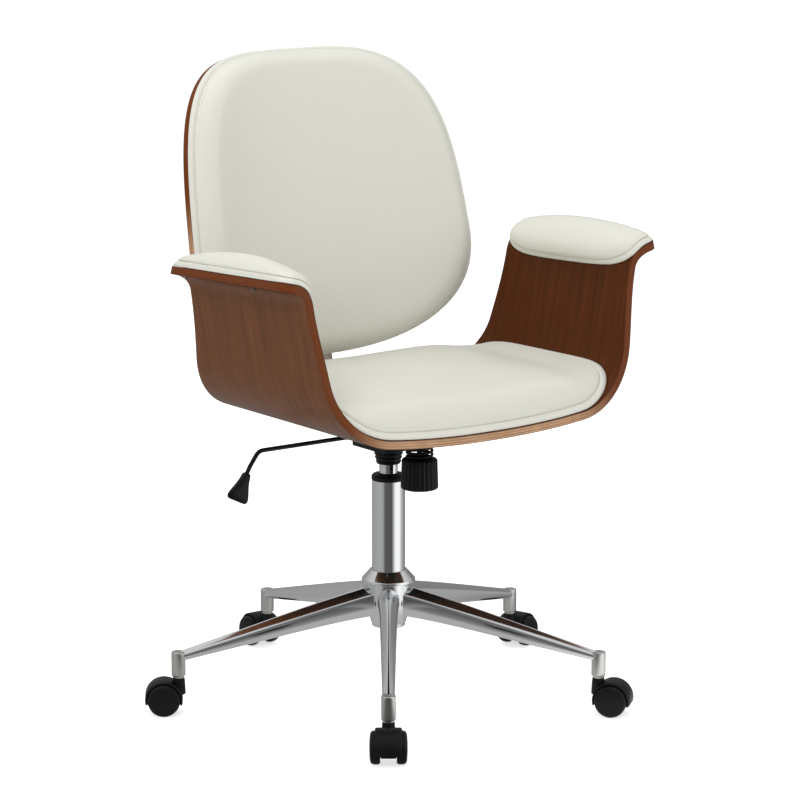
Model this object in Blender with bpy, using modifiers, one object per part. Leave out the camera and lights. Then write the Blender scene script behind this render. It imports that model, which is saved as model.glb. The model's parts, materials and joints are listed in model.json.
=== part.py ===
"""Office chair: bent plywood seat shell with padded arms, padded back and a five legged swivel base.

Metres, +Z up. The sitter faces -Y. Every piece is modelled round the column, whose axis is the
world Z axis before chair_frame moves the whole chair so that its box stands on the origin.
"""
import math

import bmesh
import bpy
from mathutils import Matrix, Vector

# Clearance between two pieces that touch, and between a shaft and its hole
TOUCH = 0.0003
RUNNING = 0.0004
# Clearance between a faceted cushion and the bent sheet that it lies on
CUSHION_BED = 0.0010

# Wheels and casters
WHEEL_RADIUS = 0.0240
WHEEL_WIDTH = 0.0160
WHEEL_GAP = 0.0225
WHEEL_SIDES = 18
CASTER_TRAIL = 0.0220
HOOD_RADIUS = 0.0280
HOOD_WALL = 0.0025
HOOD_WIDTH = 0.0385
HOOD_FRONT_DEG = -14.0
HOOD_BACK_DEG = 196.0
HOOD_GAP_TOP_Z = 0.0145
CASTER_AXLE_RADIUS = 0.0040
STEM_RADIUS = 0.0055
STEM_LENGTH = 0.0370
STEM_COLLAR_RADIUS = 0.0085
STEM_COLLAR_HEIGHT = 0.0030
CASTER_TURNS = (0.0, 3.0, 0.0, 0.0, -15.0)

# Five legged base
LEG_COUNT = 5
FIRST_LEG_ANGLE = -126.0
STEM_CIRCLE_RADIUS = 0.3270
SOCKET_BOTTOM_Z = 0.0580
SOCKET_RADIUS = 0.0105
SOCKET_CHAMFER = 0.0020
LEG_ROOT_TOP_Z = 0.1760
LEG_ROOT_HEIGHT = 0.0480
LEG_ROOT_WIDTH = 0.0280
LEG_ROOT_LAP = 0.0100
LEG_TIP_TOP_Z = 0.0940
LEG_TIP_HEIGHT = 0.0150
LEG_TIP_WIDTH = 0.0180
HUB_RADIUS = 0.0330
HUB_BOTTOM_Z = 0.1120
HUB_LIP_RADIUS = 0.0405
HUB_LIP_HEIGHT = 0.0030
HUB_CONE_HEIGHT = 0.0150
HUB_CONE_TOP_WALL = 0.0020

# Gas lift column
COLUMN_RADIUS = 0.0250
COLUMN_WALL = 0.0016
COLUMN_TOP_Z = 0.3330
COLUMN_FLOOR = 0.0030
COLLAR_HEIGHT = 0.0100
COLLAR_OVERHANG = 0.0006
SLEEVE_LENGTH = 0.0950
CYLINDER_RADIUS = 0.0140
CYLINDER_FOOT_Z = 0.1350
CYLINDER_TAPER = 0.0009
PISTON_RADIUS = 0.0050
PISTON_TOP_Z = 0.2850
PISTON_SHOULDER_RADIUS = 0.0085
PISTON_SHOULDER_HEIGHT = 0.0050
PISTON_TAIL = 0.0060
BEARING_RADIUS = 0.0125
BEARING_HEIGHT = 0.0040
CLIP_RADIUS = 0.0095
CLIP_THICKNESS = 0.0014
VALVE_RADIUS = 0.0040
VALVE_TRAVEL = 0.0042
VALVE_RISE = 0.0060

# Tilt mechanism under the seat
TRAY_BOTTOM_Z = 0.3820
TRAY_STEP = 0.0180
TRAY_WALL = 0.0025
TRAY_HALF_WIDTH = 0.0360
TRAY_FRONT = 0.1050
TRAY_STEP_FRONT = 0.0380
TRAY_REAR = 0.0420
TRAY_REAR_HEIGHT = 0.0300
CUP_HEIGHT = 0.0240
CUP_WALL = 0.0030
CUP_FLARE = 0.0040
TILT_AXLE_FRONT = 0.0240
TILT_AXLE_DROP = 0.0190
TILT_AXLE_RADIUS = 0.0040
TILT_HEAD_RADIUS = 0.0068
TILT_HEAD_HEIGHT = 0.0030
PLATE_THICKNESS = 0.0030
PLATE_HALF_WIDTH = 0.1000
PLATE_FRONT = 0.1100
PLATE_REAR = 0.0900
FLANGE_LENGTH = 0.0460
FLANGE_DEPTH = 0.0270
SEAT_BOLT_X = 0.0800
SEAT_BOLT_Y = 0.0750
SEAT_BOLT_RADIUS = 0.0030
SEAT_BOLT_HEAD_RADIUS = 0.0062
SEAT_BOLT_HEAD_HEIGHT = 0.0040
SEAT_BOLT_BITE = 0.0080
TENSION_FRONT = 0.0780
TENSION_BOLT_RADIUS = 0.0040
TENSION_BOLT_SWAY = 0.0050
KNOB_TOP_Z = 0.3790
KNOB_HEIGHT = 0.0460
KNOB_TOP_RADIUS = 0.0265
KNOB_BOTTOM_RADIUS = 0.0280
KNOB_RIBS = 22
KNOB_RIB_DEPTH = 0.0011
KNOB_WALL = 0.0035
KNOB_FLOOR = 0.0060
WASHER_THICKNESS = 0.0015
SPRING_RADIUS = 0.0192
SPRING_WIRE_RADIUS = 0.0015
SPRING_TURNS = 9
SPRING_POINTS_PER_TURN = 9

# Height lever
LEVER_RADIUS = 0.0033
LEVER_INNER_REACH = 0.0140
LEVER_KINK_START = 0.0120
LEVER_KINK_LENGTH = 0.0260
LEVER_KINK_RISE = 0.0120
LEVER_RUN = 0.1600
LEVER_DROP = 0.0230
LEVER_DROP_OUT = 0.0170
LEVER_BEND = 0.0080
HANDLE_LENGTH = 0.0440
HANDLE_LEAN_DEG = 26.0
HANDLE_TOP_WIDTH = 0.0130
HANDLE_BOTTOM_WIDTH = 0.0370
HANDLE_THICKNESS = 0.0130
HANDLE_GRIP_ON_ROD = 0.0160
BUSH_RADIUS = 0.0072
BUSH_LENGTH = 0.0090

# Seat shell: a sheet of plywood bent into a seat with two arms
PLY = 0.0120
SEAT_UNDER_Z = 0.4350
FLOOR_HALF_WIDTH = 0.1750
FLOOR_RISE_DEG = 6.0
CORNER_RADIUS = 0.1150
ARM_WALL_DEG = 80.0
ARM_WALL_LENGTH = 0.1115
CURL_RADIUS = 0.0280
LIP_DEG = 14.0
LIP_LENGTH = 0.0200
LIP_CORNER_RADIUS = 0.0300
ARM_SLOPE = 0.0470
FRONT_AT_CENTRE = 0.2480
FRONT_AT_FLOOR_END = 0.2470
FRONT_AT_WALL_FOOT = 0.2270
FRONT_AT_WALL_TOP = 0.2140
FRONT_AT_LIP = 0.2300
REAR_AT_CENTRE = 0.1500
REAR_AT_FLOOR_END = 0.1350
REAR_AT_WALL_FOOT = 0.0970
REAR_AT_WALL_TOP = 0.0810
REAR_AT_LIP = 0.0930
SEAT_ROWS = 3

# Cushions: how far the sides draw in, and the share of the crown that the shoulder rises
PIPING = 0.0030
SHOULDER_SHARE = 0.8200
OUTLINE_SAMPLES = 360

# Seat cushion and arm pads
SEAT_CUSHION_HALF_WIDTH = 0.2860
SEAT_CUSHION_FRONT_INSET = 0.0030
SEAT_CUSHION_REAR_INSET = 0.0060
SEAT_CUSHION_SIDE = 0.0100
SEAT_CUSHION_CROWN = 0.0520
SEAT_CUSHION_FRONT_SQUARENESS = 7.0
SEAT_CUSHION_REAR_SQUARENESS = 7.0
SEAT_CUSHION_FADE = 0.9000
SEAT_CUSHION_SHOULDER = 0.0340
PAD_OVERHANG = 0.0020
PAD_FRONT_INSET = 0.0010
PAD_REAR_INSET = 0.0040
PAD_REACH_DOWN = 0.0560
PAD_SIDE = 0.0080
PAD_CROWN = 0.0240
PAD_OUTER_SQUARENESS = 5.0
PAD_INNER_SQUARENESS = 3.2
PAD_END_FADE = 0.7000
PAD_SHOULDER = 0.0170

# Back
BACK_FOOT_Y = 0.1790
BACK_FOOT_Z = 0.4965
BACK_RECLINE_DEG = 11.5
BACK_PLAN_RADIUS = 0.5000
BACK_HALF_WIDTH = 0.2690
BACK_LOWER_HEIGHT = 0.1620
BACK_UPPER_HEIGHT = 0.3020
BACK_LOWER_SQUARENESS = 2.40
BACK_UPPER_SQUARENESS = 3.4
BACK_TAPER = 0.0700
BACK_RINGS = 5
BACK_POINTS = 40
BACK_CUSHION_INSET = 0.0020
BACK_CUSHION_SIDE = 0.0100
BACK_CUSHION_CROWN = 0.0280
BACK_CUSHION_SHOULDER = 0.0340

# Back bar
BAR_WIDTH = 0.0470
BAR_THICKNESS = 0.0050
BAR_BEND_RADIUS = 0.0120
BAR_GAP_BEHIND_PLATE = 0.0040
BAR_UP_THE_BACK = 0.1600
BAR_BOLT_RADIUS = 0.0075
BAR_BOLT_HEIGHT = 0.0040
BAR_BOLT_SPACING = 0.0600

# Values that follow from the driving dimensions
HUB_LIP_BOTTOM_Z = LEG_ROOT_TOP_Z + 0.0015
HUB_TOP_Z = HUB_LIP_BOTTOM_Z + HUB_LIP_HEIGHT + HUB_CONE_HEIGHT
COLUMN_BOTTOM_Z = HUB_BOTTOM_Z - 0.0040
COLLAR_TOP_Z = COLUMN_TOP_Z + TOUCH + COLLAR_HEIGHT
CYLINDER_TOP_Z = TRAY_BOTTOM_Z + TRAY_WALL
PLATE_TOP_Z = SEAT_UNDER_Z - TOUCH
PLATE_BOTTOM_Z = PLATE_TOP_Z - PLATE_THICKNESS
TILT_AXLE_Z = PLATE_BOTTOM_Z - TILT_AXLE_DROP
SPRING_SEAT_Z = TRAY_BOTTOM_Z + TRAY_STEP
KNOB_BOTTOM_Z = KNOB_TOP_Z - KNOB_HEIGHT
WASHER_Z = KNOB_BOTTOM_Z + KNOB_FLOOR + TOUCH
VALVE_TOP_Z = CYLINDER_TOP_Z + VALVE_RISE
LEVER_Z = VALVE_TOP_Z + TOUCH + LEVER_RADIUS
REAR_REACH = STEM_CIRCLE_RADIUS + CASTER_TRAIL + HOOD_RADIUS
HALF_LEG_ANGLE = math.pi / LEG_COUNT
FRONT_REACH = ((STEM_CIRCLE_RADIUS + CASTER_TRAIL + WHEEL_RADIUS) * math.cos(HALF_LEG_ANGLE)
               + (WHEEL_GAP / 2 + WHEEL_WIDTH) * math.sin(HALF_LEG_ANGLE))
COLUMN_Y = (FRONT_REACH - REAR_REACH) / 2

UP = Vector((0.0, 0.0, 1.0))


def clear_scene():
    """Removes what Blender starts with."""
    for obj in list(bpy.data.objects):
        bpy.data.objects.remove(obj)


def new_collection(name):
    """Makes a collection in the scene."""
    found = bpy.data.collections.new(name)
    bpy.context.scene.collection.children.link(found)
    return found


def finish_material(name, colour, roughness, metallic=0.0):
    """Makes a plain material with a Principled BSDF."""
    made = bpy.data.materials.new(name)
    made.use_nodes = True
    shader = made.node_tree.nodes["Principled BSDF"]
    shader.inputs["Base Color"].default_value = (*colour, 1.0)
    shader.inputs["Roughness"].default_value = roughness
    shader.inputs["Metallic"].default_value = metallic
    made.diffuse_color = (*colour, 1.0)
    return made


clear_scene()
PARTS = new_collection("office_chair")
CUTTERS = new_collection("cutters")
FRAME = bpy.data.objects.new("chair_frame", None)
FRAME.location = (0.0, COLUMN_Y, 0.0)
PARTS.objects.link(FRAME)

FINISHES = {
    "chrome": finish_material("polished_chrome", (0.80, 0.81, 0.82), 0.10, 1.0),
    "steel": finish_material("plain_steel", (0.55, 0.55, 0.56), 0.35, 1.0),
    "black_steel": finish_material("black_painted_steel", (0.020, 0.020, 0.022), 0.45, 0.0),
    "plastic": finish_material("black_plastic", (0.018, 0.018, 0.019), 0.50, 0.0),
    "walnut": finish_material("walnut_veneer", (0.130, 0.055, 0.028), 0.42, 0.0),
    "leather": finish_material("cream_leather", (0.700, 0.690, 0.610), 0.45, 0.0),
}


def place(name, mesh, finish, location=(0.0, 0.0, 0.0), turn=None, parent=None):
    """Links a mesh as one named sub-part, with the chair's frame or another object as its parent."""
    if not mesh.materials:
        mesh.materials.append(FINISHES[finish])
    mesh.shade_smooth()
    mesh.set_sharp_from_angle(angle=math.radians(32))
    obj = bpy.data.objects.new(name, mesh)
    PARTS.objects.link(obj)
    obj.location = location
    if turn is not None:
        obj.rotation_euler = turn.to_euler()
    obj.parent = parent or FRAME
    return obj


def guide(name, mesh, location=(0.0, 0.0, 0.0), turn=None):
    """Links a mesh as a cutter that is never shown."""
    obj = bpy.data.objects.new(name, mesh)
    CUTTERS.objects.link(obj)
    obj.location = location
    if turn is not None:
        obj.rotation_euler = turn.to_euler()
    obj.hide_render = True
    obj.display_type = "WIRE"
    return obj


def mesh_from(name, vertices, faces):
    """Makes a mesh from points and faces that a loft or a grid has worked out."""
    made = bpy.data.meshes.new(name)
    made.from_pydata([tuple(v) for v in vertices], [], faces)
    made.update()
    return made


def turned_mesh(name, profile, steps, closed=False):
    """Turns a profile of (radius, height) points, given down its outer side, round the Z axis."""
    count = len(profile)
    edges = [(i, i + 1) for i in range(count - 1)]
    if closed:
        edges.append((count - 1, 0))
    chain = bpy.data.meshes.new(name)
    chain.from_pydata([(r, 0.0, z) for r, z in profile], edges, [])
    rough = bpy.data.objects.new(name, chain)
    CUTTERS.objects.link(rough)
    screw = rough.modifiers.new("turn", "SCREW")
    screw.steps = steps
    screw.render_steps = steps
    screw.use_merge_vertices = True
    screw.merge_threshold = 0.00001
    return settle(rough)


def settle(obj):
    """Takes an object's finished mesh, in its parent space, and removes the object."""
    bpy.context.view_layer.update()
    graph = bpy.context.evaluated_depsgraph_get()
    made = bpy.data.meshes.new_from_object(obj.evaluated_get(graph))
    made.transform(obj.matrix_world)
    bpy.data.objects.remove(obj)
    welded = bmesh.new()
    welded.from_mesh(made)
    bmesh.ops.remove_doubles(welded, verts=welded.verts, dist=0.000005)
    welded.to_mesh(made)
    welded.free()
    return made


def combine(mesh, others, operation):
    """Joins or cuts a mesh with others in turn, by exact Booleans, and returns the result."""
    for other in others:
        target = bpy.data.objects.new(mesh.name, mesh)
        CUTTERS.objects.link(target)
        helper = guide("helper", other)
        step = target.modifiers.new("step", "BOOLEAN")
        step.operation = operation
        step.solver = "EXACT"
        step.object = helper
        mesh = settle(target)
        bpy.data.objects.remove(helper)
    return mesh


def moved(mesh, offset=(0.0, 0.0, 0.0), turn=None):
    """Copies a mesh to another place."""
    made = mesh.copy()
    matrix = Matrix.Translation(Vector(offset))
    if turn is not None:
        matrix = matrix @ turn.to_4x4()
    made.transform(matrix)
    return made


def box_mesh(name, low, high):
    """Makes a box between two corners."""
    made = bmesh.new()
    bmesh.ops.create_cube(made, size=1.0)
    low = Vector(low)
    high = Vector(high)
    size = high - low
    bmesh.ops.scale(made, vec=size, verts=made.verts)
    bmesh.ops.translate(made, vec=(low + high) / 2, verts=made.verts)
    mesh = bpy.data.meshes.new(name)
    made.to_mesh(mesh)
    made.free()
    return mesh


def rod_mesh(name, radius, start, end, sides=16):
    """Makes a round rod between two points."""
    start = Vector(start)
    end = Vector(end)
    span = end - start
    made = bmesh.new()
    bmesh.ops.create_cone(made, cap_ends=True, segments=sides, radius1=radius, radius2=radius,
                          depth=span.length)
    turn = UP.rotation_difference(span.normalized()).to_matrix().to_4x4()
    bmesh.ops.transform(made, matrix=Matrix.Translation((start + end) / 2) @ turn, verts=made.verts)
    mesh = bpy.data.meshes.new(name)
    made.to_mesh(mesh)
    made.free()
    return mesh


def prism_mesh(name, outline, low, high, axis="X"):
    """Extrudes a flat closed outline between two places along X, Y or Z."""
    curve = bpy.data.curves.new(name, "CURVE")
    curve.dimensions = "2D"
    curve.fill_mode = "BOTH"
    curve.extrude = (high - low) / 2
    spline = curve.splines.new("POLY")
    spline.points.add(len(outline) - 1)
    for point, (across, along) in zip(spline.points, outline):
        point.co = (across, along, 0.0, 1.0)
    spline.use_cyclic_u = True
    rough = bpy.data.objects.new(name, curve)
    CUTTERS.objects.link(rough)
    middle = (low + high) / 2
    if axis == "X":
        rough.matrix_world = Matrix(((0, 0, 1, middle), (1, 0, 0, 0), (0, 1, 0, 0), (0, 0, 0, 1)))
    elif axis == "Y":
        rough.matrix_world = Matrix(((1, 0, 0, 0), (0, 0, -1, middle), (0, 1, 0, 0), (0, 0, 0, 1)))
    else:
        rough.location = (0.0, 0.0, middle)
    made = settle(rough)
    fix_normals(made)
    return made


def fix_normals(mesh):
    """Points every face of a closed mesh outwards."""
    made = bmesh.new()
    made.from_mesh(mesh)
    bmesh.ops.recalc_face_normals(made, faces=made.faces)
    made.to_mesh(mesh)
    made.free()


def loft_mesh(name, rings):
    """Joins closed rings of equal count into one capped solid."""
    count = len(rings[0])
    vertices = [point for ring in rings for point in ring]
    faces = []
    for row in range(len(rings) - 1):
        for i in range(count):
            j = (i + 1) % count
            faces.append((row * count + i, row * count + j,
                          (row + 1) * count + j, (row + 1) * count + i))
    faces.append(tuple(reversed(range(count))))
    last = (len(rings) - 1) * count
    faces.append(tuple(last + i for i in range(count)))
    made = mesh_from(name, vertices, faces)
    fix_normals(made)
    return made


def tube_mesh(name, points, radius, resolution):
    """Makes a round tube along a smooth list of points, with welded caps."""
    curve = bpy.data.curves.new(name, "CURVE")
    curve.dimensions = "3D"
    curve.bevel_depth = radius
    curve.bevel_resolution = resolution
    curve.use_fill_caps = True
    spline = curve.splines.new("POLY")
    spline.points.add(len(points) - 1)
    for target, point in zip(spline.points, points):
        target.co = (*point, 1.0)
    rough = bpy.data.objects.new(name, curve)
    CUTTERS.objects.link(rough)
    made = settle(rough)
    fix_normals(made)
    return made


def signed_power(value, power):
    """Raises the size of a number to a power and keeps its sign."""
    return math.copysign(abs(value) ** power, value)


def through(stations, values, place_at):
    """Runs a smooth curve through values at rising stations, level at the first of them."""
    slopes = [0.0]
    for i in range(1, len(stations) - 1):
        slopes.append((values[i + 1] - values[i - 1]) / (stations[i + 1] - stations[i - 1]))
    slopes.append((values[-1] - values[-2]) / (stations[-1] - stations[-2]))
    last = len(stations) - 2
    i = max(k for k in range(last + 1) if place_at >= stations[k] - 1e-9)
    span = stations[i + 1] - stations[i]
    t = min(max((place_at - stations[i]) / span, 0.0), 1.0)
    return ((2 * t ** 3 - 3 * t ** 2 + 1) * values[i] + (t ** 3 - 2 * t ** 2 + t) * span * slopes[i]
            + (3 * t ** 2 - 2 * t ** 3) * values[i + 1] + (t ** 3 - t ** 2) * span * slopes[i + 1])


# Seat shell's section, seen from the front, as runs of (length, start angle, end angle)
SECTION_RUNS = (
    (FLOOR_HALF_WIDTH, 0.0, FLOOR_RISE_DEG),
    (CORNER_RADIUS * math.radians(ARM_WALL_DEG - FLOOR_RISE_DEG), FLOOR_RISE_DEG, ARM_WALL_DEG),
    (ARM_WALL_LENGTH, ARM_WALL_DEG, ARM_WALL_DEG),
    (CURL_RADIUS * math.radians(ARM_WALL_DEG - LIP_DEG), ARM_WALL_DEG, LIP_DEG),
    (LIP_LENGTH, LIP_DEG, LIP_DEG),
)
SECTION_STEPS = (4, 8, 2, 7, 3)
STATIONS = [0.0]
for RUN_LENGTH, RUN_START, RUN_END in SECTION_RUNS:
    STATIONS.append(STATIONS[-1] + RUN_LENGTH)
SECTION_LENGTH = STATIONS[-1]
EDGE_STATIONS = (STATIONS[0], STATIONS[1], STATIONS[2], STATIONS[3], STATIONS[5])
FRONT_EDGE = (FRONT_AT_CENTRE, FRONT_AT_FLOOR_END, FRONT_AT_WALL_FOOT, FRONT_AT_WALL_TOP,
              FRONT_AT_LIP)
REAR_EDGE = (REAR_AT_CENTRE, REAR_AT_FLOOR_END, REAR_AT_WALL_FOOT, REAR_AT_WALL_TOP,
             REAR_AT_LIP)


def section_point(along):
    """Gives x, z and heading of the seat shell's under face at a distance from the middle."""
    x = 0.0
    z = SEAT_UNDER_Z
    left = abs(along)
    heading = 0.0
    for length, start, end in SECTION_RUNS:
        step = min(left, length)
        start_angle = math.radians(start)
        bend = math.radians(end - start) / length
        heading = start_angle + bend * step
        if abs(bend) < 1e-9:
            x += step * math.cos(start_angle)
            z += step * math.sin(start_angle)
        else:
            x += (math.sin(heading) - math.sin(start_angle)) / bend
            z += (math.cos(start_angle) - math.cos(heading)) / bend
        left -= step
        if left <= 0.0:
            break
    return x, z, heading


def seat_point(along, y, rise):
    """Gives the point a distance above the seat shell's under face."""
    x, z, heading = section_point(along)
    side = math.copysign(1.0, along)
    x -= rise * math.sin(heading)
    z += rise * math.cos(heading)
    up_the_wall = (abs(along) - STATIONS[1]) / (STATIONS[3] - STATIONS[1])
    share = min(max(up_the_wall, 0.0), 1.0)
    z -= ARM_SLOPE * (y + FRONT_AT_LIP / 2) * share * share * (3 - 2 * share)
    return Vector((side * x, y, z))


def shell_reach(along):
    """Gives how far the seat shell reaches to the front and to the rear of the column."""
    place_at = abs(along)
    front = through(EDGE_STATIONS, FRONT_EDGE, place_at)
    rear = through(EDGE_STATIONS, REAR_EDGE, place_at)
    into_corner = place_at - (SECTION_LENGTH - LIP_CORNER_RADIUS)
    if into_corner > 0.0:
        lost = LIP_CORNER_RADIUS - math.sqrt(max(LIP_CORNER_RADIUS ** 2 - into_corner ** 2, 0.0))
        front -= lost
        rear -= lost
    return front, rear


def back_point(x, height, rise):
    """Gives the point a distance in front of the back shell's rear face, by arc length and height."""
    lean = math.radians(BACK_RECLINE_DEG)
    up = Vector((0.0, math.sin(lean), math.cos(lean)))
    ahead = Vector((0.0, -math.cos(lean), math.sin(lean)))
    radius = BACK_PLAN_RADIUS - rise
    turn = x / BACK_PLAN_RADIUS
    foot = Vector((0.0, BACK_FOOT_Y, BACK_FOOT_Z))
    return (foot + up * height + Vector((radius * math.sin(turn), 0.0, 0.0))
            + ahead * (BACK_PLAN_RADIUS - radius * math.cos(turn)))


def back_outline(angle, inset):
    """Gives the back's outline at an angle round its widest line's middle."""
    upper = math.sin(angle) >= 0.0
    squareness = BACK_UPPER_SQUARENESS if upper else BACK_LOWER_SQUARENESS
    tall = BACK_UPPER_HEIGHT if upper else BACK_LOWER_HEIGHT
    up = (tall - inset) * signed_power(math.sin(angle), 2 / squareness)
    taper = 1 - BACK_TAPER * max(up, 0.0) / BACK_UPPER_HEIGHT
    across = (BACK_HALF_WIDTH * taper - inset) * signed_power(math.cos(angle), 2 / squareness)
    return across, up


def spread_angles(outline_at, count, across_weight=1.0):
    """Gives angles for evenly spaced points on an outline, closer where it runs across a bend."""
    fine = [2 * math.pi * i / OUTLINE_SAMPLES for i in range(OUTLINE_SAMPLES + 1)]
    points = []
    for angle in fine:
        across, up = outline_at(angle, 0.0)
        points.append(Vector((across * across_weight, up)))
    run = [0.0]
    for before, after in zip(points, points[1:]):
        run.append(run[-1] + (after - before).length)
    angles = []
    k = 0
    for i in range(count):
        wanted = run[-1] * i / count
        while run[k + 1] < wanted:
            k += 1
        share = (wanted - run[k]) / (run[k + 1] - run[k])
        angles.append(fine[k] + share * (fine[k + 1] - fine[k]))
    return angles


def band(outer, inner, count):
    """Gives the triangles between two rings of points, which start at two vertex numbers."""
    faces = []
    for i in range(count):
        j = (i + 1) % count
        faces.append((outer + i, outer + j, inner + j))
        faces.append((outer + i, inner + j, inner + i))
    return faces


def faded_rise(rise, side, fade):
    """Lowers the part of a cushion's rise that lies above its side."""
    seam = PLY + CUSHION_BED + side
    return min(rise, seam) + max(rise - seam, 0.0) * fade


def padding_mesh(name, outline_at, surface_at, side, crown, shoulder, count, under_rings,
                 edge_inset=0.0, across_weight=1.0):
    """Makes a cushion: flat below, a low side drawn in under its seam, and a crowned top."""
    base = PLY + CUSHION_BED
    seam = base + side
    rings = [(PIPING * 3, base, 1.0), (PIPING * 0.4, base + 0.2 * side, 1.0),
             (PIPING, base + 0.6 * side, 1.0), (0.0, seam, 1.0)]
    for angle in (30.0, 60.0, 90.0):
        turn = math.radians(angle)
        rings.append((shoulder * (1 - math.cos(turn)),
                      seam + SHOULDER_SHARE * crown * math.sin(turn), 1.0))
    rings.append((shoulder, seam + (1 + SHOULDER_SHARE) / 2 * crown, 0.55))
    vertices = []
    faces = []
    angles = spread_angles(outline_at, count, across_weight)
    for inset, rise, share in rings:
        for angle in angles:
            across, up = outline_at(angle, inset)
            vertices.append(surface_at(across * share, up * share, rise))
    vertices.append(surface_at(0.0, 0.0, seam + crown))
    top = len(vertices) - 1
    below = [0]
    for ring in range(1, under_rings + 1):
        share = 1 - ring / (under_rings + 1)
        below.append(len(vertices))
        for angle in angles:
            across, up = outline_at(angle, -edge_inset)
            vertices.append(surface_at(across * share, up * share, base))
    vertices.append(surface_at(0.0, 0.0, base))
    bottom = len(vertices) - 1
    for row in range(len(rings) - 1):
        faces += band(row * count, (row + 1) * count, count)
    for outer, inner in zip(below, below[1:]):
        faces += band(outer, inner, count)
    last = (len(rings) - 1) * count
    for i in range(count):
        j = (i + 1) % count
        faces.append((last + i, last + j, top))
        faces.append((below[-1] + i, below[-1] + j, bottom))
    made = mesh_from(name, vertices, faces)
    fix_normals(made)
    return made


def caster_meshes():
    """Makes one caster's pieces round its swivel axis, trailing towards +X."""
    axle_z = WHEEL_RADIUS
    inner = WHEEL_GAP / 2
    boss_top = SOCKET_BOTTOM_Z - STEM_COLLAR_HEIGHT - 2 * TOUCH
    steps = 11
    start = math.radians(HOOD_FRONT_DEG)
    end = math.radians(HOOD_BACK_DEG)
    arc = [start + (end - start) * i / steps for i in range(steps + 1)]
    outline = [(CASTER_TRAIL + HOOD_RADIUS * math.cos(a), axle_z + HOOD_RADIUS * math.sin(a))
               for a in arc]
    hood = prism_mesh("hood", outline, -HOOD_WIDTH / 2, HOOD_WIDTH / 2, axis="Y")
    web_half = inner - RUNNING
    pockets = [rod_mesh("pocket", HOOD_RADIUS - HOOD_WALL, (CASTER_TRAIL, sign * web_half, axle_z),
                        (CASTER_TRAIL, sign * HOOD_WIDTH, axle_z), 18) for sign in (-1.0, 1.0)]
    gap = box_mesh("gap", (-HOOD_RADIUS, -web_half - TOUCH, -TOUCH),
                   (CASTER_TRAIL + HOOD_RADIUS, web_half + TOUCH, HOOD_GAP_TOP_Z))
    hood = combine(hood, pockets + [gap], "DIFFERENCE")
    boss = rod_mesh("boss", STEM_RADIUS + 0.0035, (0.0, 0.0, axle_z), (0.0, 0.0, boss_top), 12)
    hood = combine(hood, [boss], "UNION")
    stem_hole = rod_mesh("stem_hole", STEM_RADIUS + RUNNING,
                         (0.0, 0.0, boss_top - 0.0150), (0.0, 0.0, boss_top + 0.0100), 12)
    axle_hole = rod_mesh("axle_hole", CASTER_AXLE_RADIUS + TOUCH,
                         (CASTER_TRAIL, -HOOD_WIDTH, axle_z), (CASTER_TRAIL, HOOD_WIDTH, axle_z), 10)
    hood = combine(hood, [stem_hole, axle_hole], "DIFFERENCE")

    axle_half = inner + WHEEL_WIDTH - 0.0030
    axle = rod_mesh("axle", CASTER_AXLE_RADIUS, (0.0, -axle_half, 0.0), (0.0, axle_half, 0.0), 12)

    rim = WHEEL_RADIUS / math.cos(math.pi / WHEEL_SIDES)
    bore = CASTER_AXLE_RADIUS + TOUCH
    near = inner + RUNNING
    far = inner + WHEEL_WIDTH
    wheel = turned_mesh("wheel", [
        (rim, far - 0.0040), (rim, near + 0.0020), (rim - 0.0020, near),
        (bore, near), (bore, far - 0.0024),
        (0.0100, far - 0.0018), (0.0190, far - 0.0012), (rim - 0.0035, far),
    ], WHEEL_SIDES, closed=True)
    fix_normals(wheel)

    stem_top = SOCKET_BOTTOM_Z - 2 * TOUCH + 0.0230
    collar_top = SOCKET_BOTTOM_Z - TOUCH
    collar_bottom = collar_top - STEM_COLLAR_HEIGHT
    stem = turned_mesh("stem", [
        (0.0, stem_top), (STEM_RADIUS - 0.0010, stem_top), (STEM_RADIUS, stem_top - 0.0015),
        (STEM_RADIUS, collar_top), (STEM_COLLAR_RADIUS, collar_top),
        (STEM_COLLAR_RADIUS, collar_bottom), (STEM_RADIUS, collar_bottom),
        (STEM_RADIUS, stem_top - STEM_LENGTH), (0.0, stem_top - STEM_LENGTH),
    ], 12)
    return hood, axle, wheel, stem


def make_casters():
    """Puts a caster under the end of each leg."""
    hood, axle, wheel, stem = caster_meshes()
    half_facet = math.pi / WHEEL_SIDES
    for number in range(1, LEG_COUNT + 1):
        heading = math.radians(FIRST_LEG_ANGLE + 360 / LEG_COUNT * (number - 1))
        reach = Matrix.Rotation(heading, 3, "Z") @ Vector((STEM_CIRCLE_RADIUS, 0.0, 0.0))
        turn = heading + math.radians(CASTER_TURNS[number - 1])
        swivel = bpy.data.objects.new("caster_%d_axis" % number, None)
        PARTS.objects.link(swivel)
        swivel.parent = FRAME
        swivel.location = reach
        swivel.rotation_euler = (0.0, 0.0, turn)
        place("caster_stem_%d" % number, stem, "steel", parent=swivel)
        place("caster_hood_%d" % number, hood, "plastic", parent=swivel)
        centre = (CASTER_TRAIL, 0.0, WHEEL_RADIUS)
        place("caster_axle_%d" % number, axle, "steel", centre, parent=swivel)
        for side, sign in (("left", 1.0), ("right", -1.0)):
            lay = Matrix.Rotation(-sign * math.pi / 2, 3, "X") @ Matrix.Rotation(
                math.pi / 2 + half_facet, 3, "Z")
            place("caster_wheel_%d_%s" % (number, side), wheel, "plastic", centre, lay, swivel)


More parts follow.
